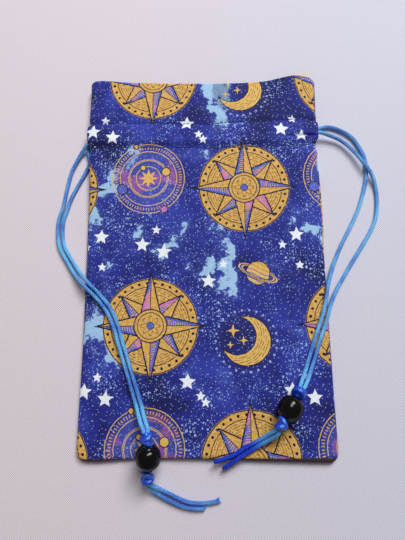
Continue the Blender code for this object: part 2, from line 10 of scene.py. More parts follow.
import bpy
import numpy as np
from mathutils import Matrix, Vector


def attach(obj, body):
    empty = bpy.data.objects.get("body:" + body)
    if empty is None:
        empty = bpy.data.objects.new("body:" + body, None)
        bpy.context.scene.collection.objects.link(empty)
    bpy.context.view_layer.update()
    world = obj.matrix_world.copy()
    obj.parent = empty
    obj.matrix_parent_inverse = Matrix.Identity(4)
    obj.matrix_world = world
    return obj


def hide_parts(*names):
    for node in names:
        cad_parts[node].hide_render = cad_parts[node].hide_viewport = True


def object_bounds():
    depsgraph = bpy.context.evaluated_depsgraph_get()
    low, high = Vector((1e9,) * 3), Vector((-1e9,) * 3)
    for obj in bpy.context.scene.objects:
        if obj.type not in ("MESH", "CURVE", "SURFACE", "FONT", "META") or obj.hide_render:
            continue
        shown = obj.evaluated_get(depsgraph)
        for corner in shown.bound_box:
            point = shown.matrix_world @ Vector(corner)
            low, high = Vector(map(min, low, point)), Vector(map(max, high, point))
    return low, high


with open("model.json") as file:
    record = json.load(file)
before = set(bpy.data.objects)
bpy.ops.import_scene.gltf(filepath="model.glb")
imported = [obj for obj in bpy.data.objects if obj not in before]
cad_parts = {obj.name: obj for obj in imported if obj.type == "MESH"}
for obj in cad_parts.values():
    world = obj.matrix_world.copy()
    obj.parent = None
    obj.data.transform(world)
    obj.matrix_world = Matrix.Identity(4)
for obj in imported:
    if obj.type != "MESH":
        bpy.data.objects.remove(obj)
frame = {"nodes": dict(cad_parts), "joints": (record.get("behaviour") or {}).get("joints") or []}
MM = 0.001
cad_box = [list(corner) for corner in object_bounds()]
size_mm = [round((high - low) / MM, 1) for low, high in zip(*cad_box)]
print(f"The packed pouch measures {size_mm} mm over its cords, in {len(frame['nodes'])} solids")

# %% [markdown]
# ## The camera
#
# The picture was taken by hand from just above. The sides of the cloth, whose size is known, gave the
# camera's place, and the columns of its matrix are its right, up and backward directions.

# %% Set up the camera
FOCAL_PIXELS = 430
FRAME_HEIGHT = 540

camera_data = bpy.data.cameras.new("camera")
camera_data.sensor_width = 36
camera_data.lens = camera_data.sensor_width * FOCAL_PIXELS / FRAME_HEIGHT
camera_data.clip_start = 0.01
camera = bpy.data.objects.new("camera", camera_data)
bpy.context.scene.collection.objects.link(camera)
camera.matrix_world = Matrix(
    (
        (0.999756, 0.012538, 0.018195, 0.003116),
        (-0.008716, 0.980419, -0.196729, -0.051501),
        (-0.020305, 0.196522, 0.980289, 0.224664),
        (0, 0, 0, 1),
    )
)
bpy.context.scene.camera = camera
bpy.context.scene.view_settings.view_transform = "Standard"
print(f"The lens is {camera_data.lens:.1f} mm")

# %% [markdown]
# ## From numbers to a mesh
#
# Nearly every surface here is a grid: one parameter runs along it and one across it. The quads come
# from adding offsets to the number of each one's first corner. A tube closes on itself, so its last
# column meets its first one, and a fan of triangles shuts each end. Each mesh carries a flat map of
# its surface in metres, on which the print and the weave are drawn, so that they bend with the cloth.


# %% Grids, maps and finished pieces
def unit(vectors):
    return vectors / np.linalg.norm(vectors, axis=-1, keepdims=True)


def walk(path):
    """Distance along a path to each of its places."""
    return np.concatenate([[0], np.cumsum(np.linalg.norm(np.diff(path, axis=0), axis=1))])


def grid_faces(rows, columns, closed=False):
    """Corner numbers of the quads: each is its first corner plus 0, 1, a row and one, and a row."""
    across = np.arange(columns if closed else columns - 1)
    right = (across + 1) % columns
    start = np.arange(rows - 1)[:, None] * columns
    quads = [start + across, start + right, start + columns + right, start + columns + across]
    return np.stack(quads, -1).reshape(-1, 4)


def tube_faces(rows, sides):
    """Quads of a closed tube and two fans, to an end point before the first ring and one after the last."""
    step = np.arange(sides)
    after, count, still = (step + 1) % sides, rows * sides, 0 * step
    first = np.stack([after, step, count + still, count + still], 1)
    last = np.stack([count - sides + step, count - sides + after, count + 1 + still, count + 1 + still], 1)
    return np.vstack([grid_faces(rows, sides, closed=True), first, last])


def fill_mesh(points, faces, spread=None):
    """A smooth mesh of quads. A triangle is a quad whose last two corners are the same.

    spread holds the place on the flat map of every corner of every face, in metres.
    """
    faces = np.asarray(faces)
    keep = np.ones(faces.shape, bool)
    keep[:, 3] = faces[:, 3] != faces[:, 2]
    mesh = bpy.data.meshes.new("mesh")
    mesh.from_pydata(points, [], [corners[mask].tolist() for corners, mask in zip(faces, keep)])
    if spread is not None:
        layer = mesh.uv_layers.new(name="spread")
        layer.uv.foreach_set("vector", np.asarray(spread, np.float32)[keep].ravel())
    mesh.validate()
    mesh.shade_smooth()
    return mesh


def corner_spread(across, along, closed_width=None):
    """Map places of each quad's corners, from grids of places across and along the surface.

    On a closed tube the last quad of a row reaches the full width instead of falling back to zero.
    """
    if closed_width is not None:
        across = np.hstack([across, np.full((len(across), 1), closed_width)])
        along = np.hstack([along, along[:, :1]])
    both = np.stack([across, along], -1)
    return np.stack([both[:-1, :-1], both[:-1, 1:], both[1:, 1:], both[1:, :-1]], 2).reshape(-1, 4, 2)


def add_piece(name, mesh, finish, body="pouch", replaces=()):
    """Puts a finished mesh in the scene, on its CAD body, in place of the CAD nodes it stands for."""
    mesh.name = name
    piece = bpy.data.objects.new(name, mesh)
    bpy.context.scene.collection.objects.link(piece)
    mesh.materials.append(finish)
    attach(piece, body)
    if replaces:
        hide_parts(*replaces)
    print(f"{name} has {len(mesh.polygons)} faces")
    return piece


# %% [markdown]
# ## Shader maths as Python
#
# A print with dozens of motifs would be a wall of nodes if it were wired by hand. Instead a Value
# wraps one socket, and its operators add Math nodes, so 1 - mask reads as it would on paper. Its node
# method makes any other node: settings are set first, then the inputs get their numbers or links.


# %% Values
def feed(socket, value):
    if isinstance(value, Value):
        value.socket.id_data.links.new(value.socket, socket)
    else:
        socket.default_value = value


class Value:
    """One output socket of a node. Arithmetic on it adds Math nodes and gives a new Value."""

    def __init__(self, socket):
        self.socket = socket

    def node(self, kind, settings=None, inputs=None, output=0):
        """Adds a node beside this one and gives back one of its outputs."""
        made = self.socket.id_data.nodes.new(kind)
        for key, value in (settings or {}).items():
            setattr(made, key, value)
        for key, value in (inputs or {}).items():
            feed(made.inputs[key], value)
        return Value(made.outputs[output])

    def math(self, operation, *others, clamp=False):
        settings = {"operation": operation, "use_clamp": clamp}
        return self.node("ShaderNodeMath", settings, dict(enumerate((self, *others))))

    def __add__(self, other):
        return self.math("ADD", other)

    def __sub__(self, other):
        return self.math("SUBTRACT", other)

    def __rsub__(self, other):
        return self.node("ShaderNodeMath", {"operation": "SUBTRACT"}, {0: other, 1: self})

    def __mul__(self, other):
        return self.math("MULTIPLY", other)

    def __abs__(self):
        return self.math("ABSOLUTE")

    __radd__ = __add__
    __rmul__ = __mul__

    def sine(self):
        return self.math("SINE")

    def lower(self, other):
        """The smaller of two values: both masks, or the union of two distances."""
        return self.math("MINIMUM", other)

    def higher(self, other):
        return self.math("MAXIMUM", other)

    def above(self, low, high):
        """A smooth step: 0 below low and 1 above high."""
        settings = {"interpolation_type": "SMOOTHSTEP"}
        return self.node("ShaderNodeMapRange", settings, {0: self, 1: low, 2: high, 3: 0.0, 4: 1.0})

    def vector(self, operation, *others, output=0):
        inputs = dict(enumerate((self, *others)))
        return self.node("ShaderNodeVectorMath", {"operation": operation}, inputs, output)

    def length(self):
        return self.vector("LENGTH", output=1)

    def scaled(self, factor):
        return self.node("ShaderNodeVectorMath", {"operation": "SCALE"}, {0: self, "Scale": factor})

    def parts(self):
        """The three numbers of a vector or a colour."""
        separate = self.node("ShaderNodeSeparateXYZ", None, {0: self}).socket.node
        return [Value(socket) for socket in separate.outputs]

    def noise(self, scale, detail=2.0, roughness=0.5, output=0):
        """Flat noise at this place."""
        inputs = {"Vector": self, "Scale": scale, "Detail": detail, "Roughness": roughness}
        return self.node("ShaderNodeTexNoise", {"noise_dimensions": "2D"}, inputs, output)

    def mix(self, first, second):
        """Colour that goes from the first to the second as this value goes from 0 to 1."""
        return self.node("ShaderNodeMix", {"data_type": "RGBA"}, {0: self, 6: first, 7: second}, 2)

    def tinted(self, tint):
        """This colour multiplied by a number that changes over the surface."""
        settings = {"data_type": "RGBA", "blend_type": "MULTIPLY"}
        return self.node("ShaderNodeMix", settings, {0: 1.0, 6: self, 7: tint}, 2)

    def bump(self, distance, strength, **under):
        """Tilts the shading by this height, whose full step is distance in metres."""
        inputs = {"Height": self, "Distance": distance, "Strength": strength, **under}
        return self.node("ShaderNodeBump", None, inputs)


# %% Finishes and inks
def new_finish(name, flat=True):
    """A material, and the place on it in millimetres: on the flat map, or else in object coordinates."""
    material = bpy.data.materials.new(name)
    material.use_nodes = True
    start = Value(material.node_tree.nodes["Principled BSDF"].outputs[0])
    if flat:
        place = start.node("ShaderNodeUVMap", {"uv_map": "spread"})
    else:
        place = start.node("ShaderNodeTexCoord", output=3)
    return material, place.scaled(1 / MM)


def set_surface(material, inputs):
    """Feeds the shader's sockets by their names."""
    for key, value in inputs.items():
        feed(material.node_tree.nodes["Principled BSDF"].inputs[key], value)
    return material


def ink(red, green, blue):
    """A colour as it is read off a screen, from 0 to 255, turned into the linear light of a shader."""
    part = np.array([red, green, blue]) / 255
    linear = np.where(part <= 0.04045, part / 12.92, ((part + 0.055) / 1.055) ** 2.4)
    return (*linear.tolist(), 1.0)


# %% [markdown]
# ## Satin cord
#
# The drawstring is a round satin cord two millimetres thick. A satin thread floats along the surface,
# so it throws a pale turquoise light where it faces a lamp and falls to a deep royal blue beside it.
# An even blue plastic would miss that, so the shader has a coloured reflection and the fine slanting
# braid of the cover in its colour and its bump, drawn on the flat map of the tube. Its two base
# colours are the cord's royal blue and a pale sheen blue, laid over it in random patches as painted
# sheen.
#
# The tails at the right get a shaded copy of the satin, as painted shade: a weak reflection and little
# painted sheen, but for a first stretch by the knot, which fade gives in millimetres and paints in the
# pale sheen blue as a painted highlight. In the knots the cord is pulled tight, so the braid is
# smoother, and the painted sheen is nearly left out, so more of them is in the deep blue.


# %% Satin finish
BRAID_PITCH = 0.52
# The cord's own royal blue, and the pale blue of its painted sheen
ROYAL_BLUE, PAINTED_SHEEN_BLUE = ink(12, 40, 196), ink(104, 186, 252)


def satin_finish(name, flat=True, shine=1.0, light=0.2, roughness=0.34, relief=0.0002, ior=2.1, fade=None):
    material, place = new_finish(name, flat)
    across, along, _ = place.parts()
    turns = 2 * np.pi / BRAID_PITCH
    slant = along * (turns * 0.8)
    braid = (across * turns + slant).sine() * (across * turns - slant).sine() * 0.5 + 0.5
    fleck = place.vector("MULTIPLY", (1.0, 0.6, 0.0)).noise(2.6, 3.0, 0.65)
    slow = place.vector("MULTIPLY", (0.2, 0.09, 0.0)).noise(1.0, 1.0)
    # share is the painted sheen: how much of the base colour is the pale sheen blue, raised by light
    share = fleck.math("MULTIPLY_ADD", 2.6, braid * 0.5 + slow * 2.8 - 2.65 + light, clamp=True)
    # fade paints a first stretch of the cord in the pale sheen blue, a painted highlight
    if fade:
        share = share.math("ADD", 1 - along.above(*fade), clamp=True)
    inputs = {
        "Base Color": share.mix(ROYAL_BLUE, PAINTED_SHEEN_BLUE),
        "Roughness": roughness + 0.12 * fleck,
        "Specular IOR Level": 1.0,
        "IOR": ior,
        "Specular Tint": (0.42 * shine, 0.92 * shine, shine, 1.0),
        "Normal": (braid * 0.6 + fleck * 0.9).bump(relief, 0.9),
    }
    return set_surface(material, inputs)


# The free strands get the most painted sheen
satin = satin_finish("satin_cord")
# A shaded copy for the right-hand tails, painted shade, with a painted highlight by the knot
shaded_tail_satin = satin_finish("satin_cord_shaded_tails", shine=0.2, light=-0.9, fade=(5.0, 19.0))
# The knots get almost no painted sheen, so they keep the cord's royal blue
pulled_satin = satin_finish("satin_cord_pulled", light=-0.95, roughness=0.26, relief=0.00008, ior=1.75)
hidden_satin = satin_finish("hidden_satin", flat=False)
print(f"The satin has {len(satin.node_tree.nodes)} nodes")

# %% [markdown]
# ## The drawstrings
#
# Two cords run right round through the casing, and both ends of each come out at the same side. They
# curve over the table, climb the edge of the cloth and lie side by side on the front until they meet
# a knot. Below each bead and its second knot two short tails are left. The routes are the same as the
# ones that the solids were made from.
#
# A smooth curve goes through all the places of a route. Each stretch is a cubic whose direction at a
# place is that of the line from the place before it to the place after it. The tube is a circle
# carried along the curve: each ring has one direction level with the table and one square to it.

# %% Routes of the free cords, in millimetres
CORD_DIAMETER = 2.0 * MM
LEFT_STRAND_1 = [
    (-60.7, 65.5, 5.35), (-62.4, 65.5, 5.15), (-64.4, 64.9, 4.3), (-66.8, 62.7, 2.9), (-69.5, 58.9, 1.7),
    (-73.6, 50.2, 1.1), (-75.8, 39.6, 1.05), (-77.2, 30.1, 1.05), (-79.4, 21.3, 1.05), (-78.4, 7.9, 1.05),
    (-73.1, -2.1, 1.1), (-69.8, -7.2, 1.7), (-66.6, -11.2, 3.2), (-64.0, -14.0, 4.4), (-61.0, -16.8, 5.0),
    (-56.7, -20.9, 4.8), (-50.9, -27.9, 4.8), (-46.8, -36.3, 4.75), (-44.0, -45.3, 4.75),
    (-40.9, -54.3, 4.7), (-37.4, -65.2, 4.7), (-34.6, -73.8, 5.1), (-32.5, -79.6, 7.6), (-30.9, -82.9, 10.4),
    (-29.3, -85.5, 12.3), (-28.7, -86.9, 12.8),
]  # fmt: skip
LEFT_STRAND_2 = [
    (-60.7, 65.5, 1.65), (-62.4, 65.6, 1.65), (-64.2, 64.8, 1.5), (-65.0, 62.4, 1.25), (-64.5, 59.2, 1.1),
    (-63.7, 55.5, 1.1), (-65.2, 51.0, 1.1), (-68.8, 43.6, 1.05), (-72.7, 35.6, 1.05), (-74.7, 29.1, 1.05),
    (-76.9, 20.9, 1.05), (-75.9, 8.6, 1.05), (-70.9, -0.7, 1.1), (-67.6, -5.4, 2.0), (-65.0, -8.7, 3.7),
    (-62.6, -11.4, 4.95), (-59.4, -14.7, 5.05), (-54.8, -19.3, 4.8), (-48.7, -26.7, 4.8),
    (-44.5, -35.6, 4.75), (-41.7, -44.7, 4.75), (-38.6, -53.7, 4.7), (-35.1, -64.7, 4.7),
    (-32.1, -73.3, 5.1), (-30.1, -79.0, 7.6), (-28.5, -82.4, 10.4), (-27.2, -84.9, 12.2),
    (-27.2, -86.6, 12.8),
]  # fmt: skip
RIGHT_STRAND_1 = [
    (60.7, 72.8, 1.65), (62.4, 72.9, 1.65), (65.0, 73.8, 1.4), (70.6, 74.8, 1.1), (77.3, 72.5, 1.05),
    (83.1, 68.3, 1.05), (86.7, 62.7, 1.05), (89.4, 55.3, 1.05), (89.8, 46.7, 1.05), (88.0, 38.2, 1.05),
    (84.2, 27.1, 1.05), (79.2, 17.0, 1.05), (73.2, 6.3, 1.1), (70.1, -0.2, 1.3), (67.4, -6.0, 2.4),
    (65.2, -11.6, 4.0), (63.4, -16.8, 4.9), (62.5, -21.8, 4.8), (61.6, -25.6, 4.8), (58.6, -34.7, 4.75),
    (54.8, -44.6, 4.75), (50.9, -55.4, 4.8), (48.7, -60.8, 5.6), (46.5, -65.4, 7.1), (46.0, -66.8, 7.5),
]  # fmt: skip
RIGHT_STRAND_2 = [
    (60.7, 69.4, 5.35), (62.5, 69.5, 5.1), (65.2, 69.7, 4.3), (69.5, 68.7, 3.3), (76.4, 65.7, 2.6),
    (82.5, 59.7, 2.8), (87.1, 52.8, 3.45), (89.6, 49.1, 3.5), (91.9, 45.2, 2.7), (94.0, 38.1, 1.15),
    (94.0, 28.4, 1.05), (92.4, 20.2, 1.05), (89.2, 13.5, 1.05), (84.0, 5.4, 1.05), (78.3, -3.1, 1.1),
    (72.6, -11.9, 1.35), (69.0, -17.4, 2.4), (66.3, -22.0, 4.0), (64.1, -26.8, 4.85), (61.2, -35.5, 4.8),
    (57.4, -45.5, 4.75), (53.4, -56.2, 4.8), (51.1, -61.7, 5.6), (48.5, -66.5, 7.1), (47.4, -67.6, 7.5),
]  # fmt: skip
LEFT_TAIL_1 = [
    (-27.0, -109.3, 6.2), (-26.4, -110.8, 5.5), (-24.2, -112.5, 3.9), (-21.3, -114.4, 2.1),
    (-18.2, -116.1, 1.2), (-14.7, -117.8, 1.05), (-10.1, -119.7, 1.05), (-5.5, -120.5, 1.05),
    (-0.9, -120.5, 1.05), (3.7, -119.9, 1.05), (6.7, -119.0, 1.05),
]  # fmt: skip
LEFT_TAIL_2 = [
    (-28.2, -109.6, 5.6), (-28.4, -111.2, 4.6), (-27.0, -113.4, 3.0), (-24.0, -115.9, 1.7),
    (-19.5, -118.6, 1.1), (-14.7, -120.8, 1.05), (-10.1, -122.3, 1.05), (-5.5, -122.9, 1.05),
    (-0.5, -122.8, 1.05),
]  # fmt: skip
RIGHT_TAIL_1 = [
    (34.0, -84.8, 11.4), (32.7, -85.9, 10.9), (30.8, -87.6, 8.7), (28.4, -89.5, 6.3), (24.6, -91.9, 4.8),
    (19.9, -94.3, 4.65), (15.2, -97.1, 4.65), (10.6, -99.2, 4.6), (6.0, -100.7, 4.4), (3.5, -101.6, 4.0),
]  # fmt: skip
RIGHT_TAIL_2 = [
    (34.8, -86.2, 11.3), (34.1, -87.7, 10.8), (32.0, -89.6, 8.4), (29.2, -91.6, 6.2), (24.5, -94.4, 4.8),
    (19.8, -97.1, 4.65), (15.1, -99.9, 4.5), (10.6, -103.0, 3.6), (7.8, -104.7, 2.9),
]  # fmt: skip

# %% A smooth curve and a tube round it
def smooth_route(points, spacing=0.5 * MM):
    """Places every spacing along a smooth curve through points given in millimetres.

    A stretch from a to b is a(2t^3-3t^2+1) + u(t^3-2t^2+t) + b(3t^2-2t^3) + v(t^3-t^2). Here u and v
    point along the chords past a and b, and are as long as the stretch.
    """
    route = np.array(points, float) * MM
    ends = np.vstack([2 * route[0] - route[1], route, 2 * route[-1] - route[-2]])
    before, start, end, after = ends[:-3], ends[1:-2], ends[2:-1], ends[3:]
    stretch = np.linalg.norm(end - start, axis=1, keepdims=True)
    leave, arrive = unit(end - before) * stretch, unit(after - start) * stretch
    t = np.linspace(0, 1, 24, endpoint=False)[:, None, None]
    curve = start * (2 * t**3 - 3 * t**2 + 1) + leave * (t**3 - 2 * t**2 + t)
    curve = curve + end * (3 * t**2 - 2 * t**3) + arrive * (t**3 - t**2)
    fine = np.vstack([curve.transpose(1, 0, 2).reshape(-1, 3), route[-1:]])
    walked = walk(fine)
    stops = np.linspace(0, walked[-1], max(3, int(walked[-1] / spacing)))
    return np.stack([np.interp(stops, walked, fine[:, axis]) for axis in range(3)], 1), walked[-1]


def tube_mesh(path, wide, tall, sides=20, nudge=None):
    """A closed tube: ring points are path + across * wide * cos(angle) + up * tall * sin(angle).

    The two radii are arrays along the path. nudge moves the ring points along the path.
    """
    ahead = unit(np.gradient(path, axis=0))
    across = unit(np.cross(ahead, [0, 0, 1.0]))
    angle = np.linspace(0, 2 * np.pi, sides, endpoint=False)
    rings = path[:, None] + wide[:, None, None] * np.cos(angle)[:, None] * across[:, None]
    rings = rings + tall[:, None, None] * np.sin(angle)[:, None] * np.cross(across, ahead)[:, None]
    if nudge is not None:
        rings = rings + nudge[..., None] * ahead[:, None]
    width = np.pi * CORD_DIAMETER
    around = np.tile(angle / (2 * np.pi) * width, (len(path), 1))
    spread = corner_spread(around, np.tile(walk(path)[:, None], (1, sides)), width)
    caps = np.tile([0.001, 0.0], (2 * sides, 4, 1))
    points = np.vstack([rings.reshape(-1, 3), rings[[0, -1]].mean(1)])
    return fill_mesh(points, tube_faces(len(path), sides), np.vstack([spread, caps]))


# %% [markdown]
# A real cord is a little flatter where it lies on something and where the fingers have pulled it, and
# a cut end is pinched by the scissors or melted round. So the two radii change slowly along the path
# by a few hundredths, and the ends get their own shapes: a round one tapers like a ball, and a forked
# one widens and has a notch, made by drawing its middle back.


# %% Make the eight free cords
def add_cord(name, points, end, phase):
    """A cord whose half widths are its radius, times 1 plus two slow waves of opposite sign."""
    path, length = smooth_route(points)
    walked = np.linspace(0, length, len(path))
    wave = 0.035 * np.sin(walked / (9 * MM) + phase) + 0.02 * np.sin(walked / (3.7 * MM) + 2 * phase)
    wide, tall = CORD_DIAMETER / 2 * (1.02 + wave), CORD_DIAMETER / 2 * (0.98 - wave)
    left = length - walked
    nudge = None
    if end == "round":
        ball = np.sqrt(np.clip(1 - (1 - np.clip(left / (0.9 * MM), 0, 1)) ** 2, 0.06, 1))
        wide, tall = wide * ball, tall * ball
    if end == "fork":
        flat = np.clip(1 - left / (3.2 * MM), 0, 1) ** 1.5
        wide, tall = wide * (1 + 0.5 * flat), tall * (1 - 0.5 * flat)
        angle = np.linspace(0, 2 * np.pi, 20, endpoint=False)
        nudge = -1.5 * MM * (flat**2)[:, None] * (1 - np.abs(np.cos(angle))) ** 0.8
    finish = shaded_tail_satin if name in SHADED_TAILS else satin
    mesh = tube_mesh(path, wide, tall, 20, nudge)
    print(f"{name} is {length / MM:.0f} mm long")
    return add_piece(name + "_satin", mesh, finish, replaces=[name]), path, length


# The tails that take the shaded copy of the satin, as painted shade
SHADED_TAILS = ("tail_1_right", "tail_2_right")
CORDS = {
    "strand_1_left": (LEFT_STRAND_1, "plain", 0.3),
    "strand_2_left": (LEFT_STRAND_2, "plain", 1.9),
    "strand_1_right": (RIGHT_STRAND_1, "plain", 2.8),
    "strand_2_right": (RIGHT_STRAND_2, "plain", 4.1),
    "tail_1_left": (LEFT_TAIL_1, "fork", 0.9),
    "tail_2_left": (LEFT_TAIL_2, "round", 2.2),
    "tail_1_right": (RIGHT_TAIL_1, "round", 3.3),
    "tail_2_right": (RIGHT_TAIL_2, "round", 5.0),
}
cords = {name: add_cord(name, *details) for name, details in CORDS.items()}

# %% [markdown]
# ## Knots
#
# Each pair of cords is tied on both sides of its bead. A pulled knot is a tight lump of wraps: here
# two slanting loops go round the cord that runs through them. From the middle a ray goes out in every
# direction, and the skin lies where the ray leaves the last wrap, with a crease where two wraps meet.
#
# For a wrap that passes through a place c, a ray in the direction d leaves a ball of radius r round
# it at d.c + sqrt((d.c)^2 - |c|^2 + r^2). The largest value over all places of the wraps is the
# knot's radius in that direction.

# %% The wraps of a pulled knot, in millimetres
# Each loop has a radius, a middle along the cord, and a slant in degrees.
KNOT_LOOPS = ((2.3, -1.0, 36), (2.1, 1.1, -24))
KNOT_THROUGH = 2.1
WRAP_RADIUS = 1.26
KNOT_CORE = 2.3


def knot_frame(along):
    """Columns across, away from the cloth, and along."""
    along = unit(np.asarray(along, float))
    across = unit(np.cross([0, 0, 1.0], along))
    return np.stack([across, np.cross(along, across), along], 1)


def knot_mesh(centre, along, turn):
    """A ball whose radius in each direction is where the ray leaves the last wrap of the cord."""
    c, s = np.cos(turn), np.sin(turn)
    t = np.linspace(0, 2 * np.pi, 90)
    run = np.linspace(-KNOT_THROUGH, KNOT_THROUGH, 30)
    wraps, walks = [np.outer(run, [0, 0, 1])], [run + KNOT_THROUGH]
    for radius, place, slant in KNOT_LOOPS:
        lean = np.radians(slant)
        loop = np.stack([np.cos(t) * np.cos(lean), np.sin(t), np.cos(t) * np.sin(lean)], 1)
        wraps.append(radius * loop + [0, 0, place])
        walks.append(radius * t)
    wraps = np.vstack(wraps) @ np.array([[c, s, 0], [-s, c, 0], [0, 0, 1.0]])
    rows, sides = 47, 72
    polar = np.linspace(0, np.pi, rows + 2)[1:-1, None]
    angle = np.linspace(0, 2 * np.pi, sides, endpoint=False)
    outward = [np.sin(polar) * np.cos(angle), np.sin(polar) * np.sin(angle), -np.cos(polar) + 0 * angle]
    directions = np.vstack([np.stack(outward, -1).reshape(-1, 3), [[0, 0, -1.0], [0, 0, 1.0]]])
    reach = directions @ wraps.T
    inside = reach**2 - (wraps**2).sum(1) + WRAP_RADIUS**2
    leave = np.where(inside > 0, reach + np.sqrt(np.maximum(inside, 0)), 0)
    last = leave.argmax(1)
    local = directions * np.maximum(leave.max(1), KNOT_CORE)[:, None]
    away = unit(wraps[last])
    side = unit(np.cross(unit(np.gradient(wraps, axis=0))[last], away))
    offset = local - wraps[last]
    around = np.arctan2((offset * side).sum(1), (offset * away).sum(1)) * WRAP_RADIUS
    flat = np.stack([around, np.concatenate(walks)[last]], -1) * MM
    faces = tube_faces(rows, sides)
    return fill_mesh(local * MM @ knot_frame(along).T + centre, faces, flat[faces])


# %% Tie the four knots
BEAD_DIAMETER = 12.2 * MM
BEAD_LENGTH = 11.6 * MM
CLEARANCE = 0.3 * MM
KNOT_LENGTH = 6.8 * MM
# Side of the bead, gap to its end in millimetres, shift off its axis, and turn about it
KNOT_PLACES = {
    "upper_knot_left": (-1, -0.3, (-0.6, 0, 0), 0.4),
    "lower_knot_left": (1, 0.7, (-0.6, 0, -0.4), -0.9),
    "upper_knot_right": (-1, -0.3, (0, 0, 0), 1.2),
    "lower_knot_right": (1, -0.3, (0, 0, 0), -0.1),
}
bores = {
    side: (np.array(joint["pos_m"]), unit(np.array(joint["axis"])))
    for side in ("left", "right")
    for joint in frame["joints"]
    if joint["name"] == f"bead_{side}_spin"
}
knots = {}
for name, (way, gap, shift, turn) in KNOT_PLACES.items():
    middle, axis = bores[name.split("_")[-1]]
    out = BEAD_LENGTH / 2 + gap * MM + KNOT_LENGTH / 2
    mesh = knot_mesh(middle + way * out * axis + np.array(shift) * MM, way * axis, turn)
    knots[name] = add_piece(name + "_satin", mesh, pulled_satin, replaces=[name])

# %% [markdown]
# ## Beads
#
# The beads are black barrels with a wide bore, and they turn freely between their knots. Their
# outline is a superellipse: |r/a|^p + |z/b|^p = 1 with p = 2.4 is fuller than an ellipse and has
# softer shoulders than a cylinder. Turned about the bore it gives a grid of rings. The solids have 24
# sides, which a gloss would show, so the visible bead has 96.

# %% Turn the beads
BEAD_BORE = 5.0 * MM
BEAD_SQUARENESS = 2.4
BORE_ROUNDING = 0.5 * MM
BEAD_SIDES = 96


def bead_profile():
    """(radius, height) round the wall: r = a cos(t)^(2/p), z = b sin(t)^(2/p), then back through the bore."""
    power = 2 / BEAD_SQUARENESS
    t = np.radians(np.linspace(-90, 90, 61))
    radius = BEAD_DIAMETER / 2 * np.cos(t) ** power
    height = np.sign(t) * np.abs(np.sin(t)) ** power * BEAD_LENGTH / 2
    outer = radius > BEAD_BORE / 2 + BORE_ROUNDING
    corner = np.radians(np.linspace(0, 90, 6))
    lip_radius = BEAD_BORE / 2 + BORE_ROUNDING * (1 - np.sin(corner))
    lip_height = BEAD_LENGTH / 2 - BORE_ROUNDING * (1 - np.cos(corner))
    inner = np.linspace(1, -1, 7)[1:-1] * (BEAD_LENGTH / 2 - BORE_ROUNDING)
    radii = [radius[outer], lip_radius, np.full(5, BEAD_BORE / 2), lip_radius[::-1]]
    heights = [height[outer], lip_height, inner, -lip_height[::-1]]
    return np.concatenate(radii), np.concatenate(heights)


def bead_mesh(middle, axis):
    """Ring points are middle + r(cos(angle) across + sin(angle) up) + z along the bore."""
    radii, heights = bead_profile()
    across, up, along = knot_frame(axis).T
    angle = np.linspace(0, 2 * np.pi, BEAD_SIDES, endpoint=False)
    ring = np.cos(angle)[:, None] * across + np.sin(angle)[:, None] * up
    rings = middle + radii[:, None, None] * ring + heights[:, None, None] * along
    count = len(rings)
    faces = grid_faces(count + 1, BEAD_SIDES, closed=True) % (count * BEAD_SIDES)
    width = np.pi * BEAD_DIAMETER
    round_wall = np.stack([radii, heights], 1)
    walked = walk(np.vstack([round_wall, round_wall[:1]]))[:, None]
    around = np.tile(angle / (2 * np.pi) * width, (count + 1, 1))
    return fill_mesh(rings.reshape(-1, 3), faces, corner_spread(around, walked + 0 * around, width))


# %% [markdown]
# The gloss of a dyed and lacquered bead has two layers: a body that scatters hardly any light, and a
# clear coat that mirrors the lamps as small bright spots. Fine scratches and a hint of the turned
# grain keep the mirror from looking like glass.


# %% Bead finish and pieces
def bead_finish():
    material, place = new_finish("gloss_bead")
    grain = place.vector("MULTIPLY", (0.5, 4.0, 0.0)).noise(1.0, 3.0, 0.6)
    smear = place.noise(0.35, 3.0, 0.6)
    scratch = place.vector("MULTIPLY", (0.8, 9.0, 0.0)).noise(1.0, 2.0, 0.5)
    inputs = {
        "Base Color": grain.mix(ink(3, 2, 3), ink(9, 8, 9)),
        "Roughness": 0.16 + 0.22 * smear.above(0.35, 0.75),
        "Specular IOR Level": 0.06,
        "Coat Weight": 0.42,
        "Coat Roughness": 0.085,
        "Normal": (grain * 0.5 + scratch.above(0.62, 0.7) * 0.3).bump(0.00002, 0.5),
    }
    return set_surface(material, inputs)


gloss = bead_finish()
beads = {}
for side, bore in bores.items():
    beads[side] = add_piece(
        f"bead_{side}_gloss", bead_mesh(*bore), gloss, f"{side}_bead", [f"bead_{side}"]
    )

# %% [markdown]
# Inside each bore both strands run side by side from knot to knot. They show only from the ends, as a
# glint of blue past the knot, but a bead that spins on nothing would look wrong from there. Short
# straight tubes stand for them. The hidden stretches inside the casing keep their solids, and only
# get the satin.

# %% Strands inside the beads
for side, (middle, along) in bores.items():
    beside = unit(np.cross(along, [0, 0, 1.0])) * (CORD_DIAMETER + CLEARANCE) / 2
    reaches = [KNOT_PLACES[f"{word}_knot_{side}"][:2] for word in ("upper", "lower")]
    for number, way in ((1, -1), (2, 1)):
        name = f"strand_{number}_in_bead_{side}"
        ends = np.array([middle + along * end * (BEAD_LENGTH / 2 + gap * MM) for end, gap in reaches])
        path, length = smooth_route((ends + way * beside) / MM)
        radius = np.full(len(path), CORD_DIAMETER / 2)
        mesh = tube_mesh(path, radius, radius)
        knots[name] = add_piece(name + "_satin", mesh, satin, replaces=[name])

# %% [markdown]
# ## The cut of the pouch
#
# Two panels of thin cotton meet in a seam round the sides and the bottom. A finger's width below the
# mouth two rows of stitches make the casing, which stands a little proud because the cords lie in it.
# From here on a panel is a function: how far a place is from the sides and from the bottom, and how
# high the cloth lies there. The heights are the solids' own.

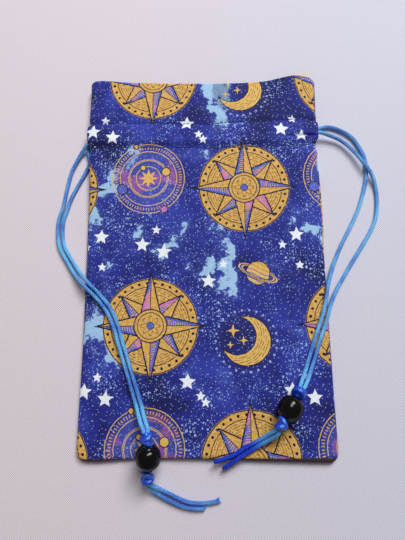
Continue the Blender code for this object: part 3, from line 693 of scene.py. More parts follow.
# %% Sizes of the cloth
POUCH_WIDTH = 127 * MM
TOP, BOTTOM = 101 * MM, -101 * MM
HALF_WIDTH = POUCH_WIDTH / 2
CLOTH = 0.35 * MM
CORNER_RADIUS = 5 * MM
UPPER_STITCH, LOWER_STITCH = 77 * MM, 62 * MM
CASING_SLOPE = 2.4 * MM
BOTTOM_ROLL = 1.9 * MM
SEAM_GAP = 0.5 * MM
# Heights of the front's top face along the pouch, thickest over the casing
FRONT_STEPS = [(-101, 3.2), (0, 3.5), (62, 5.6), (66, 7.0), (72.5, 7.0), (77, 6.0), (79.4, 6.4), (101, 6.4)]


def eased(value, knots):
    """Height along knots of (place, height) in millimetres: a smooth step 3t^2-2t^3 between each two."""
    places, heights = np.array(knots, float).T * MM
    value = np.clip(value, places[0], places[-1])
    index = np.clip(np.searchsorted(places, value, side="right") - 1, 0, len(places) - 2)
    part = (value - places[index]) / (places[index + 1] - places[index])
    return heights[index] + (heights[index + 1] - heights[index]) * part * part * (3 - 2 * part)


def swell(value, middle, reach):
    """A smooth hump: (1 - d^2)^2, 1 at the middle and 0 from reach away."""
    return (1 - np.clip(np.abs(value - middle) / reach, 0, 1) ** 2) ** 2


def ramp(value, low, high):
    """A smooth step from 0 at low to 1 at high."""
    part = np.clip((value - low) / (high - low), 0, 1)
    return part * part * (3 - 2 * part)


def front_height(y):
    return eased(y, FRONT_STEPS)


def back_groove(y):
    """Rise of the back over the threads of the two stitch rows."""
    rows = [swell(y, line, CASING_SLOPE / 2) for line in (LOWER_STITCH, UPPER_STITCH)]
    return 0.69 * MM * np.maximum(*rows)


def side_opening(y):
    """1 where the side seam is left open for the cords."""
    return eased(y, [(62.72, 0), (64.4, 1), (74.6, 1), (76.28, 0)]) / MM


def along_knots(value, knots):
    """Straight lines through knots of (place, amount) in millimetres."""
    places, amounts = np.array(knots, float).T * MM
    return np.interp(value, places, amounts)


# %% [markdown]
# ### Hand-made shape
#
# No sewn bag is as straight as its pattern. The sides draw in by a millimetre, the bottom edge dips to
# the right, the stitch rows wander, and near the right corner the mouth gapes a little. These amounts
# were measured on the picture and are kept as short tables, in millimetres.
#
# Smaller things are put on as waves. The cloth ripples softly, puckers beside its seams and stitches,
# and has one sharp fold across the casing at the right, between the two cords inside it.

# %% Tables of the drift of each edge
LEFT_EDGE = [(-101, 0.0), (-82, 0.3), (-38, 1.2), (-1, 1.5), (24, 1.2), (50, 0.5), (62, 0.5), (66, -0.5),
             (70, -0.9), (74, -0.6), (77, 0.1), (80, -0.5), (86, -0.2), (93, -0.1), (101, -0.3)]  # fmt: skip
RIGHT_EDGE = [(-101, 0.5), (-64, 0.1), (-24, -0.2), (5, -0.3), (14, 0.3), (30, 0.2), (48, -0.5), (56, -0.7),
              (60, -0.6), (66, -0.2), (73, 0.0), (79, -0.4), (90, 0.0), (101, 0.1)]  # fmt: skip
BOTTOM_EDGE = [(-64, -0.1), (-52, -0.3), (-42, 0.5), (-22, 1.0), (-3, 0.7), (16, 0.1), (36, -0.6),
               (55, -1.2), (64, -1.4)]  # fmt: skip
TOP_EDGE = [(-63.5, 0.5), (-61, 1.8), (-57, 2.0), (-50, 1.4), (-41, 0.6), (-18, -0.3), (4, -1.1), (21, -0.9),
            (34, 0.0), (44, 0.7), (50, 1.4), (54, 1.9), (58, 1.5), (61, 0.5), (63.5, -1.0)]  # fmt: skip
UPPER_ROW = [(-62.7, 0.3), (-52, -0.1), (-48.5, 0.0), (-46.2, 1.3), (-44, 0.9), (-40.8, -0.6), (-29, -0.2),
             (-13, -1.2), (4, -1.8), (21, -0.3), (44, 0.2), (62, 0.4)]  # fmt: skip
LOWER_ROW = [(-62.7, 0.4), (-51, 0.3), (-36, -0.2), (-24, -0.1), (-8, -0.3), (6, -1.1), (24, -0.7),
             (44, -0.2), (61, 0.3)]  # fmt: skip


def row_drift(x, y):
    """How far the stitch rows and the casing between them have wandered up at a place.

    The two tables are blended by the share of the way between the rows, and fade out beyond them.
    """
    share = np.clip((y - LOWER_STITCH) / (UPPER_STITCH - LOWER_STITCH), 0, 1)
    drift = along_knots(x, LOWER_ROW) * (1 - share) + along_knots(x, UPPER_ROW) * share
    return drift * ramp(y, LOWER_STITCH - 16 * MM, LOWER_STITCH) * (1 - ramp(y, UPPER_STITCH, TOP - 6 * MM))


def mouth_lift(x, y):
    """Height of the gape near the right corner of the mouth."""
    return 2.0 * MM * swell(x, 50 * MM, 15 * MM) * ramp(y, 80 * MM, TOP) ** 1.3


def drifted(x, y, is_front):
    """Moves pattern places to where the hand-made edges lie. The back's top edge moves half as far."""
    left = along_knots(y, LEFT_EDGE) * ramp(-x, 40 * MM, HALF_WIDTH)
    right = along_knots(y, RIGHT_EDGE) * ramp(x, 40 * MM, HALF_WIDTH)
    up = along_knots(x, TOP_EDGE) * ramp(y, 82 * MM, TOP) * (1.0 if is_front else 0.5)
    down = along_knots(x, BOTTOM_EDGE) * ramp(-y, 70 * MM, -BOTTOM)
    return x + left + right, y + up + down


def ripples(x, y):
    """Soft waves of the whole front, on average a little below the pattern's height."""
    u, v = x / MM, y / MM
    wave = 0.13 * np.sin(u / 17 + 1.3) * np.sin(v / 23 + 0.4) + 0.08 * np.sin((u + 0.6 * v) / 9.5 + 2.0)
    wave = wave + 0.06 * np.sin((0.5 * u - v) / 6.1 + 0.7)
    header = ramp(y, UPPER_STITCH, 90 * MM)
    wave = wave + header * (0.22 * np.sin(u / 8.3 + 0.9) + 0.12 * np.sin(u / 4.1 + v / 11))
    return (wave - 0.14) * MM


def puckers(x, y):
    """Short ripples square to the seams and the stitch rows, which fade within a few millimetres."""
    u, v = x / MM, y / MM
    to_side, to_bottom = (HALF_WIDTH - np.abs(x)) / MM, (y - BOTTOM) / MM
    beside = np.exp(-to_side / 3.2) * (np.sin(v / 1.15 + 1.3 * np.sin(v / 5)) - 0.6)
    under = np.exp(-to_bottom / 3.0) * (np.sin(u / 1.3 + 1.1 * np.sin(u / 6)) - 0.6)
    rows = 0
    for line, table in ((LOWER_STITCH, LOWER_ROW), (UPPER_STITCH, UPPER_ROW)):
        away = np.abs(y - line - along_knots(x, table)) / MM
        rows = rows + np.exp(-away / 1.5) * (np.sin(u / 0.85 + 1.5 * np.sin(u / 7)) - 0.9)
    return (0.13 * beside + 0.12 * under + 0.07 * rows) * MM


def folds(x, y):
    """The sharp fold across the casing at the right, and the shallow one that starts the next."""
    u, v = x / MM, y / MM
    line = 67.45 + 0.012 * (u - 63)
    deep = ramp(x, 36 * MM, 58 * MM) * np.exp(-(((v - line) / 0.62) ** 2))
    soft = ramp(x, 50 * MM, 62 * MM) * np.exp(-(((v - 63.4) / 1.2) ** 2))
    return -(1.6 * deep + 0.35 * soft) * MM


# %% [markdown]
# ### The panels
#
# Across a panel the columns of the grid bunch up where the cloth rolls over its edge. There the
# parameter is an angle a: the place is roll * (1 - cos a) from the edge and has risen by sin a of the
# way to its full height. At the right the seam has rolled up onto the front, so the back panel comes
# over the edge and shows as a strip of its own print. At the left a low tunnel lifts the seam over
# the cord that comes out from under it. In the bottom corners the square of distances from the two
# edges is bent onto a quarter circle.

# %% Surface of one panel
TUNNEL_HEIGHT = 7.5 * MM
SEAM_CLIMB = np.radians(50)


def bend_corner(dx, dy):
    """Distances from the side and the bottom, moved so that the square corner becomes a round one.

    With a = 1 - dx/r and b = 1 - dy/r, the new ones are r(1 - a sqrt(1 - b^2/2)) and its mirror.
    """
    a = np.clip(1 - dx / CORNER_RADIUS, 0, 1)
    b = np.clip(1 - dy / CORNER_RADIUS, 0, 1)
    corner = (a > 0) & (b > 0)
    round_a, round_b = a * np.sqrt(1 - b**2 / 2), b * np.sqrt(1 - a**2 / 2)
    new_dx = np.where(corner, CORNER_RADIUS * (1 - round_a), dx)
    new_dy = np.where(corner, CORNER_RADIUS * (1 - round_b), dy)
    return new_dx, new_dy, np.where(corner, CORNER_RADIUS * (1 - np.hypot(round_a, round_b)), np.inf)


def quarter_round(distance, radius):
    """sqrt(1 - (1 - d/r)^2), the rise of a quarter ellipse."""
    return np.sqrt(1 - np.clip(1 - distance / radius, 0, 1) ** 2)


def panel_rows():
    roll = BOTTOM_ROLL * (1 - np.cos(np.radians(np.linspace(0, 90, 8))))
    body = np.linspace(BOTTOM + BOTTOM_ROLL + 0.5 * MM, 58 * MM, 150)
    casing = np.linspace(58.5 * MM, 81 * MM, 58)
    header = np.linspace(81.8 * MM, TOP, 24)
    return np.concatenate([BOTTOM + roll, body, casing, header])


def seam_angle(y):
    """Angle up the right-hand roll at which the seam lies. It is 0 at the corner and the opening."""
    body = ramp(y, -96 * MM, -86 * MM) * (1 - ramp(y, 52 * MM, 60 * MM))
    header = ramp(y, 79 * MM, 83 * MM) * (1 - ramp(y, 97 * MM, TOP))
    return SEAM_CLIMB * np.maximum(body, header)


def panel_surface(is_front):
    """Grids of x, y and z for the middle of one panel's cloth."""
    y = panel_rows()[:, None]
    half = CLOTH / 2
    base = front_height(y) / 2 + 0.3 * MM
    ride = swell(y, LOWER_STITCH - 7.5 * MM, 7 * MM)
    left_roll = base if is_front else base + TUNNEL_HEIGHT * ride
    left_angle = np.pi / 2 * np.linspace(0, 1, 10)
    end = seam_angle(y) if is_front else -seam_angle(y)
    right_angle = np.pi / 2 + (end - np.pi / 2) * np.linspace(0, 1, 10 if is_front else 16)
    inner = np.linspace(0, 1, 114)[None, 1:-1]
    left_x = -HALF_WIDTH + left_roll * (1 - np.cos(left_angle))
    right_x = HALF_WIDTH - base * (1 - np.cos(right_angle))
    middle_x = (-HALF_WIDTH + left_roll) * (1 - inner) + (HALF_WIDTH - base) * inner
    x = np.hstack([left_x, middle_x, right_x])
    side_rise = np.hstack([np.sin(left_angle) + 0 * y, np.ones_like(middle_x), np.sin(right_angle)])
    side = np.where(x < 0, -1, 1)
    dx, dy, away = bend_corner(HALF_WIDTH - np.abs(x), y - BOTTOM)
    rise = np.minimum(np.minimum(side_rise, quarter_round(dy, BOTTOM_ROLL)), quarter_round(away, BOTTOM_ROLL))
    rise = np.where(side_rise < 0, side_rise, rise)
    place_y = BOTTOM + dy
    opening = side_opening(place_y)
    fade = np.clip(1 - dx / (3 * np.where(side < 0, left_roll, base)), 0, 1)
    pucker = 1.6 * MM * swell(place_y, LOWER_STITCH, 4 * MM) * (side > 0)
    inset = (pucker + (0 if is_front else 2.4 * MM) * opening) * fade
    place_x = side * (HALF_WIDTH - dx - inset)
    front_top = front_height(place_y - row_drift(place_x, place_y)) - half
    middle = front_height(place_y) / 2 + 1.3 * MM * ride * (side < 0)
    seam = middle + (SEAM_GAP / 2 if is_front else -SEAM_GAP / 2)
    if is_front:
        edge = seam + (front_height(place_y) - half - 0.5 * MM - seam) * opening
        flat = front_top + ripples(place_x, place_y) + puckers(place_x, place_y) + folds(place_x, place_y)
    else:
        edge = seam + (half - seam) * opening
        flat = half + back_groove(place_y) + 0 * place_x
    z = edge + (flat - edge) * np.abs(rise)
    z = np.where(rise < 0, edge + (front_top - edge) * -rise, z)
    if is_front:
        z = z + mouth_lift(place_x, place_y)
    return *drifted(place_x, place_y, is_front), z


def sheet_mesh(x, y, z, across, along, is_front):
    """A sheet's middle surface and its flat map. The corners of the back run the other way round."""
    faces, spread = grid_faces(*x.shape), corner_spread(across, along)
    if not is_front:
        faces, spread = faces[:, ::-1], spread[:, ::-1]
    return fill_mesh(np.stack([x, y, z], -1).reshape(-1, 3), faces, spread)


def cloth_walk(place, z, axis):
    """Length of cloth along one axis of a grid, with the middle of the grid left at its own place."""
    steps = [np.diff(grid, axis=axis, prepend=np.take(grid, [0], axis)) for grid in (place, z)]
    walked = np.cumsum(np.hypot(*steps), axis)
    return walked + np.take(place - walked, [place.shape[axis] // 2], axis)


def panel_mesh(is_front, print_x, print_y):
    x, y, z = panel_surface(is_front)
    across = cloth_walk(x, z, 1) * (1 if is_front else -1)
    return sheet_mesh(x, y, z, across + print_x, cloth_walk(y, z, 0) + print_y, is_front)


def give_thickness(piece):
    """Solidify, centred on the middle surface as in the solids."""
    solid = piece.modifiers.new("cloth_thickness", "SOLIDIFY")
    solid.thickness = CLOTH
    solid.offset = 0
    solid.use_even_offset = True


# %% [markdown]
# ## The print
#
# The cloth is quilting cotton with a night sky: a mottled navy ground, a dust of pale specks, torn
# pale clouds, white five-pointed stars and large gold ornaments with dark outlines and touches of
# periwinkle and pink. The ornaments are general ones: a compass rose on a gold disc, a chart of
# orbits, a crescent with a dotted ring, and a small ringed planet.
#
# Drawing with distances stays sharp at any size. The distance from a shape's outline is worked out in
# the shader, and a mask is 1 where that distance is below zero. A shape that repeats round a centre
# needs only one spike: the angle is folded back and forth, like pleats in paper.

# %% Drawing with distances
GOLD, DEEP_GOLD = ink(226, 180, 94), ink(202, 150, 70)
PERIWINKLE, PINK = ink(88, 98, 190), ink(204, 116, 186)
OUTLINE, STAR_WHITE = ink(13, 14, 46), ink(238, 242, 248)


def filled(distance, soft=0.16):
    """Mask that is 1 where a distance in millimetres is below zero."""
    return distance.math("MULTIPLY_ADD", -1 / soft, 0.5, clamp=True)


def stroke(distance, width, soft=0.16):
    """Mask of a line of some width along the places where the distance is zero."""
    return filled(abs(distance) - width / 2, soft)


def polar(vector):
    """Distance from the centre of a motif, and angle from +x."""
    x, y, _ = vector.parts()
    return vector.length(), y.math("ARCTAN2", x)


def spikes(radius, angle, count, tip, valley, turn=0.0):
    """Distance outside a star outline with its points at tip and its hollows at valley.

    Folding the angle leaves half of one spike. Its edge is the line through (tip, 0) and the hollow,
    and the distance from that line is r cos(folded - b) - c, with b the direction square to it.
    """
    step = np.pi / count
    square = np.array([valley * np.sin(step), tip - valley * np.cos(step)])
    square = square / np.linalg.norm(square)
    folded = (angle + turn).math("PINGPONG", step)
    return radius * (folded - float(np.arctan2(square[1], square[0]))).math("COSINE") - float(square[0] * tip)


def dot_ring(radius, angle, count, ring, size):
    """Distance outside the dots of a ring, from the folded angle and the distance from the ring."""
    across, along = angle.math("PINGPONG", np.pi / count) * ring, radius - ring
    return (across * across + along * along).math("SQRT") - size


# %% [markdown]
# Like real cloth, the print repeats. All motifs sit on one block that is tiled over the fabric. For a
# motif with several places on the block, the shader finds the nearest one: the difference to each
# place is wrapped into the block, and the shortest difference wins.

# %% The repeat and its places, in millimetres
BLOCK = (104.0, 140.0)
COMPASS_PLACES = [(0, 0), (54, 66)]
ORBIT_PLACES = [(52, 6)]
CRESCENT_PLACES = [(-1, 58)]
PLANET_PLACES = [(6, 93)]
# The stars have a size too, from the middle to a point
STAR_PLACES = [
    (21, 33.5, 4.3), (32, 30, 4.2), (27.5, 40.5, 2.6), (-31, 38, 4.3), (-24.5, 31, 2.6), (49, 109, 4.2),
    (60.5, 105, 4.4), (56.5, 117, 2.6), (28, 97, 2.5), (-20, 89, 4.2), (-12, 98, 2.5), (27, -26.5, 4.2),
    (19.5, -32, 2.4), (82, 28, 2.6),
]  # fmt: skip


def nearest(place, places):
    """Vector from the nearest of the places, on a cloth tiled with the block. Sizes scale it to one."""
    half, back = (BLOCK[0] / 2, BLOCK[1] / 2, 1.0), (-BLOCK[0] / 2, -BLOCK[1] / 2, -1.0)
    found = length = None
    for x, y, *size in places:
        offset = place.vector("SUBTRACT", (float(x), float(y), 0.0)).vector("WRAP", half, back)
        if size:
            offset = offset.scaled(1 / size[0])
        away = offset.length()
        if found is None:
            found, length = offset, away
            continue
        closer = away.math("LESS_THAN", length)
        found = closer.node("ShaderNodeMix", {"data_type": "VECTOR"}, {0: closer, 4: found, 5: offset}, 1)
        length = away.lower(length)
    return found


# %% Ground, dust and clouds of the night sky
def scattered(place, size):
    """Distance to the nearest of scattered points, about one in each square of a size in millimetres."""
    inputs = {"Vector": place, "Scale": 1 / size}
    return place.node("ShaderNodeTexVoronoi", {"voronoi_dimensions": "2D"}, inputs)


def sky(place):
    """Mottled navy with pale specks, thick in some places and thin in others, and torn clouds."""
    tone = place.noise(0.03, 4.0, 0.6) * 0.75 + place.noise(0.9, 3.0, 0.7) * 0.28
    colour = tone.above(0.36, 0.5).mix(ink(17, 21, 88), ink(31, 37, 132))
    colour = tone.above(0.5, 0.64).mix(colour, ink(46, 60, 162))
    dust = place.vector("ADD", (37.0, 11.0, 0.0)).noise(0.045, 3.0, 0.6).above(0.42, 0.62) * 0.85 + 0.15
    for cell, least, most in ((2.1, -0.02, 0.3), (1.05, -0.06, 0.34)):
        specks = scattered(place, cell)
        chance = specks.node("ShaderNodeSeparateColor", None, {0: Value(specks.socket.node.outputs[1])})
        size = chance * chance * dust * (most - least) + least
        colour = (filled(specks - size, 0.1) * 0.85).mix(colour, ink(158, 190, 236))
    torn = place.vector("ADD", (5.0, 63.0, 0.0)).noise(0.021, 9.0, 0.68)
    colour = (torn.above(0.53, 0.64) * 0.4).mix(colour, ink(84, 106, 192))
    return torn.above(0.605, 0.62).mix(colour, ink(160, 196, 230))


# %% [markdown]
# ### Compass rose
#
# The largest ornament is a gold disc with a rim of dark dots, like the dial of an old compass. Over it
# lie two stars of four points, the shorter one turned by half a step. Each point is split along its
# middle: one half is gold and the other periwinkle or pink with a ladder of short lines, as an
# engraver would shade it. In the middle is a boss with a rosette of eight petals.


# %% Draw the compass rose
def compass_rose(colour, vector, blush):
    radius, angle = polar(vector)
    wobble = vector.noise(0.8, 2.0, 0.6)
    gold = wobble.above(0.3, 0.7).mix(GOLD, DEEP_GOLD)
    shade = blush.mix(PERIWINKLE, PINK)
    colour = filled(radius - 24.6).mix(colour, gold)
    rim = stroke(radius - 24.2, 0.55).higher(stroke(radius - 20.2, 0.45))
    rim = rim.higher(filled(dot_ring(radius, angle, 34, 22.2, 0.75)))
    arcs = (radius * 5.0 + wobble * 2.0).sine().above(0.62, 0.85).lower(filled(abs(radius - 14.0) - 5.2))
    arcs = arcs.lower(wobble.above(0.4, 0.46))
    colour = rim.higher(arcs * 0.8).mix(colour, OUTLINE)
    rungs = (radius * 5.4).sine().above(0.1, 0.6)
    for tip, hollow, turn in ((22.0, 9.0, np.pi / 4), (28.0, 7.6, 0.0)):
        outside = spikes(radius, angle, 4, tip, hollow, turn)
        side = ((angle + turn) * 4.0).sine().math("GREATER_THAN", 0.0)
        ladder = (rungs * filled(outside + 1.3)).mix(shade, gold)
        colour = filled(outside).mix(colour, side.mix(gold, ladder))
        ridge = filled(abs(((angle + turn) * 2.0).sine()) * radius * 0.5 - 0.2)
        colour = stroke(outside, 0.7).higher(ridge.lower(filled(outside))).mix(colour, OUTLINE)
    colour = filled(radius - 8.4).mix(colour, gold)
    petal = radius - abs((angle * 4.0).math("COSINE")) * 2.6 - 2.4
    marks = stroke(radius - 8.4, 0.6).higher(stroke(radius - 6.7, 0.4)).higher(stroke(petal, 0.42))
    colour = marks.mix(colour, OUTLINE)
    colour = filled(radius - 1.9).mix(colour, shade)
    return stroke(radius - 1.9, 0.4).mix(colour, OUTLINE)


# %% [markdown]
# ### Orbits, crescent and ringed planet
#
# The lighter ornaments are drawn in thin gold lines on the blue. One is a chart of orbits with small
# worlds on them. The crescent is one disc with another cut from it, inside a ring of dots, and its
# shade lines are circles that grow with the cut. The ringed planet's ring is an ellipse: squeezing the
# place turns it into a circle.

# %% Draw the lighter ornaments
# Place across and up, radius and ink of each small world
WORLDS = [
    (9.6, 3.6, 2.1, GOLD), (-14.2, -6.0, 2.6, PERIWINKLE), (8.6, -17.6, 1.7, PINK),
    (-3.0, 6.0, 1.2, GOLD), (-7.0, 18.3, 1.2, GOLD),
]  # fmt: skip


def orbits(colour, vector, blush):
    radius, angle = polar(vector)
    colour = (filled(radius - 17.0, 6.0) * 0.4).mix(colour, blush.mix(PERIWINKLE, PINK))
    lines = filled(spikes(radius, angle, 8, 5.4, 2.4))
    for ring, width in ((6.7, 0.42), (10.2, 0.42), (10.9, 0.3), (15.4, 0.42), (19.6, 0.42)):
        lines = lines.higher(stroke(radius - ring, width))
    ticks = stroke(radius - 17.5, 1.5).lower((angle * 72.0).sine().above(0.3, 0.7))
    colour = lines.higher(ticks * 0.8).mix(colour, GOLD)
    for across, up, size, tone in WORLDS:
        away = vector.vector("SUBTRACT", (across, up, 0.0)).length() - size
        colour = filled(away).mix(filled(away - 0.5).mix(colour, OUTLINE), tone)
    return colour


def crescent(colour, vector):
    radius, angle = polar(vector)
    colour = (filled(radius - 15.4, 1.2) * 0.5).mix(colour, ink(34, 36, 104))
    colour = filled(dot_ring(radius, angle, 26, 15.6, 0.6)).mix(colour, ink(150, 162, 226))
    cut = vector.vector("SUBTRACT", (-4.6, 2.6, 0.0)).length()
    moon = (radius - 12.4).higher(9.6 - cut)
    colour = filled(moon).mix(colour, GOLD)
    shading = (cut * 5.2).sine().above(0.55, 0.8).lower(vector.noise(0.5).above(0.42, 0.5))
    colour = (shading.lower(filled(moon + 0.7)) * 0.85).mix(colour, OUTLINE)
    colour = stroke(moon, 0.45).mix(colour, OUTLINE)
    for across, up, size in ((-6.6, 5.2, 3.4), (-1.4, 0.2, 2.4), (-8.2, -2.0, 1.9)):
        burst = polar(vector.vector("SUBTRACT", (across, up, 0.0)))
        colour = filled(spikes(*burst, 4, size, size * 0.3)).mix(colour, GOLD)
    return colour


def planet(colour, vector):
    tilt = {"Vector": vector, "Angle": 0.42}
    tilted = vector.node("ShaderNodeVectorRotate", {"rotation_type": "Z_AXIS"}, tilt)
    x, y, _ = tilted.parts()
    radius, ring = tilted.length(), tilted.vector("MULTIPLY", (1.0, 3.4, 0.0)).length()
    around = stroke(ring - 10.6, 0.9).higher(stroke(ring - 8.9, 0.8))
    colour = around.mix(colour, GOLD)
    colour = filled(radius - 6.4).mix(colour, OUTLINE)
    bands = (y * 2.9 + (x * 0.6).sine() * 0.7).sine().above(0.45, 0.7)
    globe = bands.mix(GOLD, y.above(-2.0, 3.0).mix(PERIWINKLE, DEEP_GOLD))
    colour = filled(radius - 6.0).mix(colour, globe)
    front = filled(y, 0.3).lower(filled(radius - 6.6))
    colour = front.lower(stroke(ring - 9.8, 4.6)).mix(colour, OUTLINE)
    return front.lower(around).mix(colour, GOLD)


# %% [markdown]
# ### Cloth under the ink
#
# Ink sits on the crowns of the threads and misses the hollows, so the weave shows through every
# colour. Warp and weft are two long-grained noises, one stretched along each direction, and they tint
# the print by a few hundredths. The bump has the same weave and a softer cockle from washing. The
# lowest millimetre or so of the front is painted a dark brown, as painted shade where its bottom fold
# turns under.

# %% Printed cotton
THREAD_PITCH = 0.42
# Where the painted shade of the bottom fold ends, in millimetres along the front's flat map
BOTTOM_FOLD_PAINTED_SHADE = (-138.6, -137.4)


def crowns_of(place, pitch):
    """Crowns of a plain weave: 0.5 + 0.5 sin(2 pi x / p) sin(2 pi y / p)."""
    x, y, _ = place.parts()
    turn = 2 * np.pi / pitch
    return (x * turn).sine() * (y * turn).sine() * 0.5 + 0.5


def woven(material, place, colour, tint, roughness, specular, **under):
    """Cotton of a colour. tint has the shares of the threads and the crowns in it, and what is added."""
    crowns = crowns_of(place, THREAD_PITCH)
    warp = place.vector("MULTIPLY", (2.4, 0.12, 0.0)).noise(1.0, 1.0)
    threads = warp + place.vector("MULTIPLY", (0.12, 2.4, 0.0)).noise(1.0, 1.0)
    inputs = {
        "Base Color": colour.tinted(threads * tint[0] + crowns * tint[1] + tint[2]),
        "Roughness": roughness[0] + roughness[1] * crowns,
        "Specular IOR Level": specular,
        "Sheen Weight": 0.08,
        "Sheen Roughness": 0.5,
        "Normal": (crowns + threads * 0.6).bump(0.00005, 0.7, **under),
    }
    return set_surface(material, inputs)


def printed_cotton():
    material, place = new_finish("printed_cotton")
    shake = place.noise(0.55, output=1).vector("SUBTRACT", (0.5, 0.5, 0.5)).scaled(0.55)
    drawn = place.vector("ADD", shake).vector("MULTIPLY", (1.0, 1.0, 0.0))
    blush = place.vector("ADD", (90.0, 15.0, 0.0)).noise(0.075, 1.0).above(0.54, 0.62)
    colour = orbits(sky(drawn), nearest(drawn, ORBIT_PLACES), blush)
    colour = crescent(colour, nearest(drawn, CRESCENT_PLACES))
    colour = planet(colour, nearest(drawn, PLANET_PLACES))
    colour = compass_rose(colour, nearest(drawn, COMPASS_PLACES), blush)
    stars = spikes(*polar(nearest(drawn, STAR_PLACES)), 5, 1.0, 0.46, -np.pi / 2 + 0.06)
    colour = filled(stars, 0.05).mix(colour, STAR_WHITE)
    colour = (filled(scattered(place, 2.6) - 0.075, 0.06) * 0.8).mix(colour, ink(190, 208, 242))
    # Painted shade: the front's bottom fold is turned dark brown
    colour = place.parts()[1].above(*BOTTOM_FOLD_PAINTED_SHADE).mix(ink(58, 38, 42), colour)
    cockle = place.noise(0.16, 3.0, 0.6).bump(0.0006, 0.5)
    return woven(material, place, colour, (0.24, 0.1, 0.72), (0.7, 0.15), 0.28, Normal=cockle)


printed = printed_cotton()
print(f"The print has {len(printed.node_tree.nodes)} nodes")

# %% Put the panels together
panels = {}
for word, origin in (("front", (-22 * MM, -38 * MM)), ("back", (31 * MM, 47 * MM))):
    mesh = panel_mesh(word == "front", *origin)
    panels[word] = add_piece(f"{word}_cloth", mesh, printed, replaces=[f"{word}_panel"])
    give_thickness(panels[word])

# %% [markdown]
# ### Facings
#
# Inside the mouth each panel has a strip of plain navy cotton, sewn down by the two rows that make the
# casing. Only its edge shows at the mouth. It is a sheet like the panels: it lies against its panel
# above the casing, and inside the casing it parts from it to leave a channel for the cord.


# %% Plain cotton and the two facings
def plain_cotton():
    material, place = new_finish("plain_cotton")
    colour = place.noise(0.12, 3.0, 0.6).above(0.35, 0.7).mix(ink(28, 31, 88), ink(42, 48, 120))
    return woven(material, place, colour, (0.3, 0.12, 0.68), (0.74, 0.14), 0.25)


FACING_INSET = 4 * MM
FACING_LOW, FACING_HIGH = LOWER_STITCH - 1.8 * MM, TOP - 0.6 * MM
BACK_FACING = [(62, 0.65), (64.4, 2.95), (74.6, 2.95), (77, 0.65)]
FRONT_CHANNEL = [(62, 0), (64.4, 1), (74.6, 1), (77, 0)]
CHANNEL_HEIGHT = 4.05 * MM


def facing_surface(is_front):
    """Grids of the middle of a facing: its drifted places, and its height over the casing."""
    rows = [np.linspace(FACING_LOW, 81.5 * MM, 54), np.linspace(82.3 * MM, FACING_HIGH, 20)]
    y = np.concatenate(rows)[:, None]
    x = np.linspace(-1, 1, 110)[None, :] * (HALF_WIDTH - FACING_INSET) + 0 * y
    half = CLOTH / 2
    if is_front:
        place = y - row_drift(x, y)
        inside = eased(place, FRONT_CHANNEL) / MM
        z = (front_height(place) - 0.65 * MM) * (1 - inside) + CHANNEL_HEIGHT * inside - half
        z = z + (ripples(x, y) + puckers(x, y)) * (1 - inside) + mouth_lift(x, y)
    else:
        z = eased(y, BACK_FACING) + back_groove(y) + half + 0 * x
    return *drifted(x, y, is_front), z


plain = plain_cotton()
for word in ("front", "back"):
    x, y, z = facing_surface(word == "front")
    mesh = sheet_mesh(x, y, z, x, y, word == "front")
    piece = add_piece(f"{word}_facing", mesh, plain, replaces=[f"{word}_casing_facing"])
    give_thickness(piece)

# %% [markdown]
# ## Thread
#
# The casing is sewn with a thick near-black thread, about eleven stitches to an inch. A stitch is a
# short rounded rod that dips into the cloth at both ends. All of a row's stitches are made at once: one
# small rod of rings is worked out, and an array of centres and directions places its copies. The hidden
# seams keep their solids, with the same thread finish read from object coordinates.


# %% Thread finish
def thread_finish(name, flat=True):
    material, place = new_finish(name, flat)
    across, along, _ = place.parts()
    ply = (across * 9.0 + along * 16.0).sine() * 0.5 + 0.5
    fuzz = place.noise(4.0, 3.0, 0.7)
    inputs = {
        "Base Color": (ply * 0.5 + fuzz * 0.5).mix(ink(8, 7, 16), ink(30, 26, 46)),
        "Roughness": 0.5 + 0.25 * fuzz,
        "Specular IOR Level": 0.4,
        "Sheen Weight": 0.1,
        "Normal": ply.bump(0.00006, 0.8),
    }
    return set_surface(material, inputs)


thread = thread_finish("sewing_thread")
hidden_thread = thread_finish("hidden_thread", flat=False)

# %% Sew the two rows on each side
THREAD_RADIUS = 0.22 * MM
STITCH_PITCH = 2.3 * MM
STITCH_LENGTH = 2.22 * MM


def stitch_rods(centres, directions, lengths):
    """One mesh of many stitches: centre + s * along + radius * w(s) * (cos(a) across + sin(a) up).

    s runs from one end to the other, w is sqrt(1 - 0.94 s^4), and the rod bows down by its ends.
    """
    part = np.array([-1, -0.8, -0.35, 0.35, 0.8, 1])
    width = THREAD_RADIUS * np.sqrt(1 - part**4 * 0.94)
    sides, rings, count = 6, len(part), len(centres)
    angle = np.linspace(0, 2 * np.pi, sides, endpoint=False)
    along = unit(directions)
    across = unit(np.cross([0, 0, 1.0], along))
    along, across, up = (way[:, None, None] for way in (along, across, np.cross(along, across)))
    ring = across * np.cos(angle)[:, None] + up * np.sin(angle)[:, None]
    rods = centres[:, None, None] + part[:, None, None] * along * lengths[:, None, None, None] / 2
    rods = rods + width[:, None, None] * ring - (part**2 * THREAD_RADIUS * 1.1)[:, None, None] * up
    caps = np.array([[0, 3, 2, 1], [0, 5, 4, 3], [0, 1, 2, 3], [0, 3, 4, 5]])
    caps[2:] += (rings - 1) * sides
    one = np.vstack([grid_faces(rings, sides, closed=True), caps])[:, ::-1]
    faces = (one + (np.arange(count) * rings * sides)[:, None, None]).reshape(-1, 4)
    around = np.tile(angle * THREAD_RADIUS, count * rings)
    walked = (np.arange(count)[:, None, None] * 3 * MM + (part * MM)[:, None] + 0 * angle).ravel()
    return fill_mesh(rods.reshape(-1, 3), faces, np.stack([around, walked], -1)[faces])


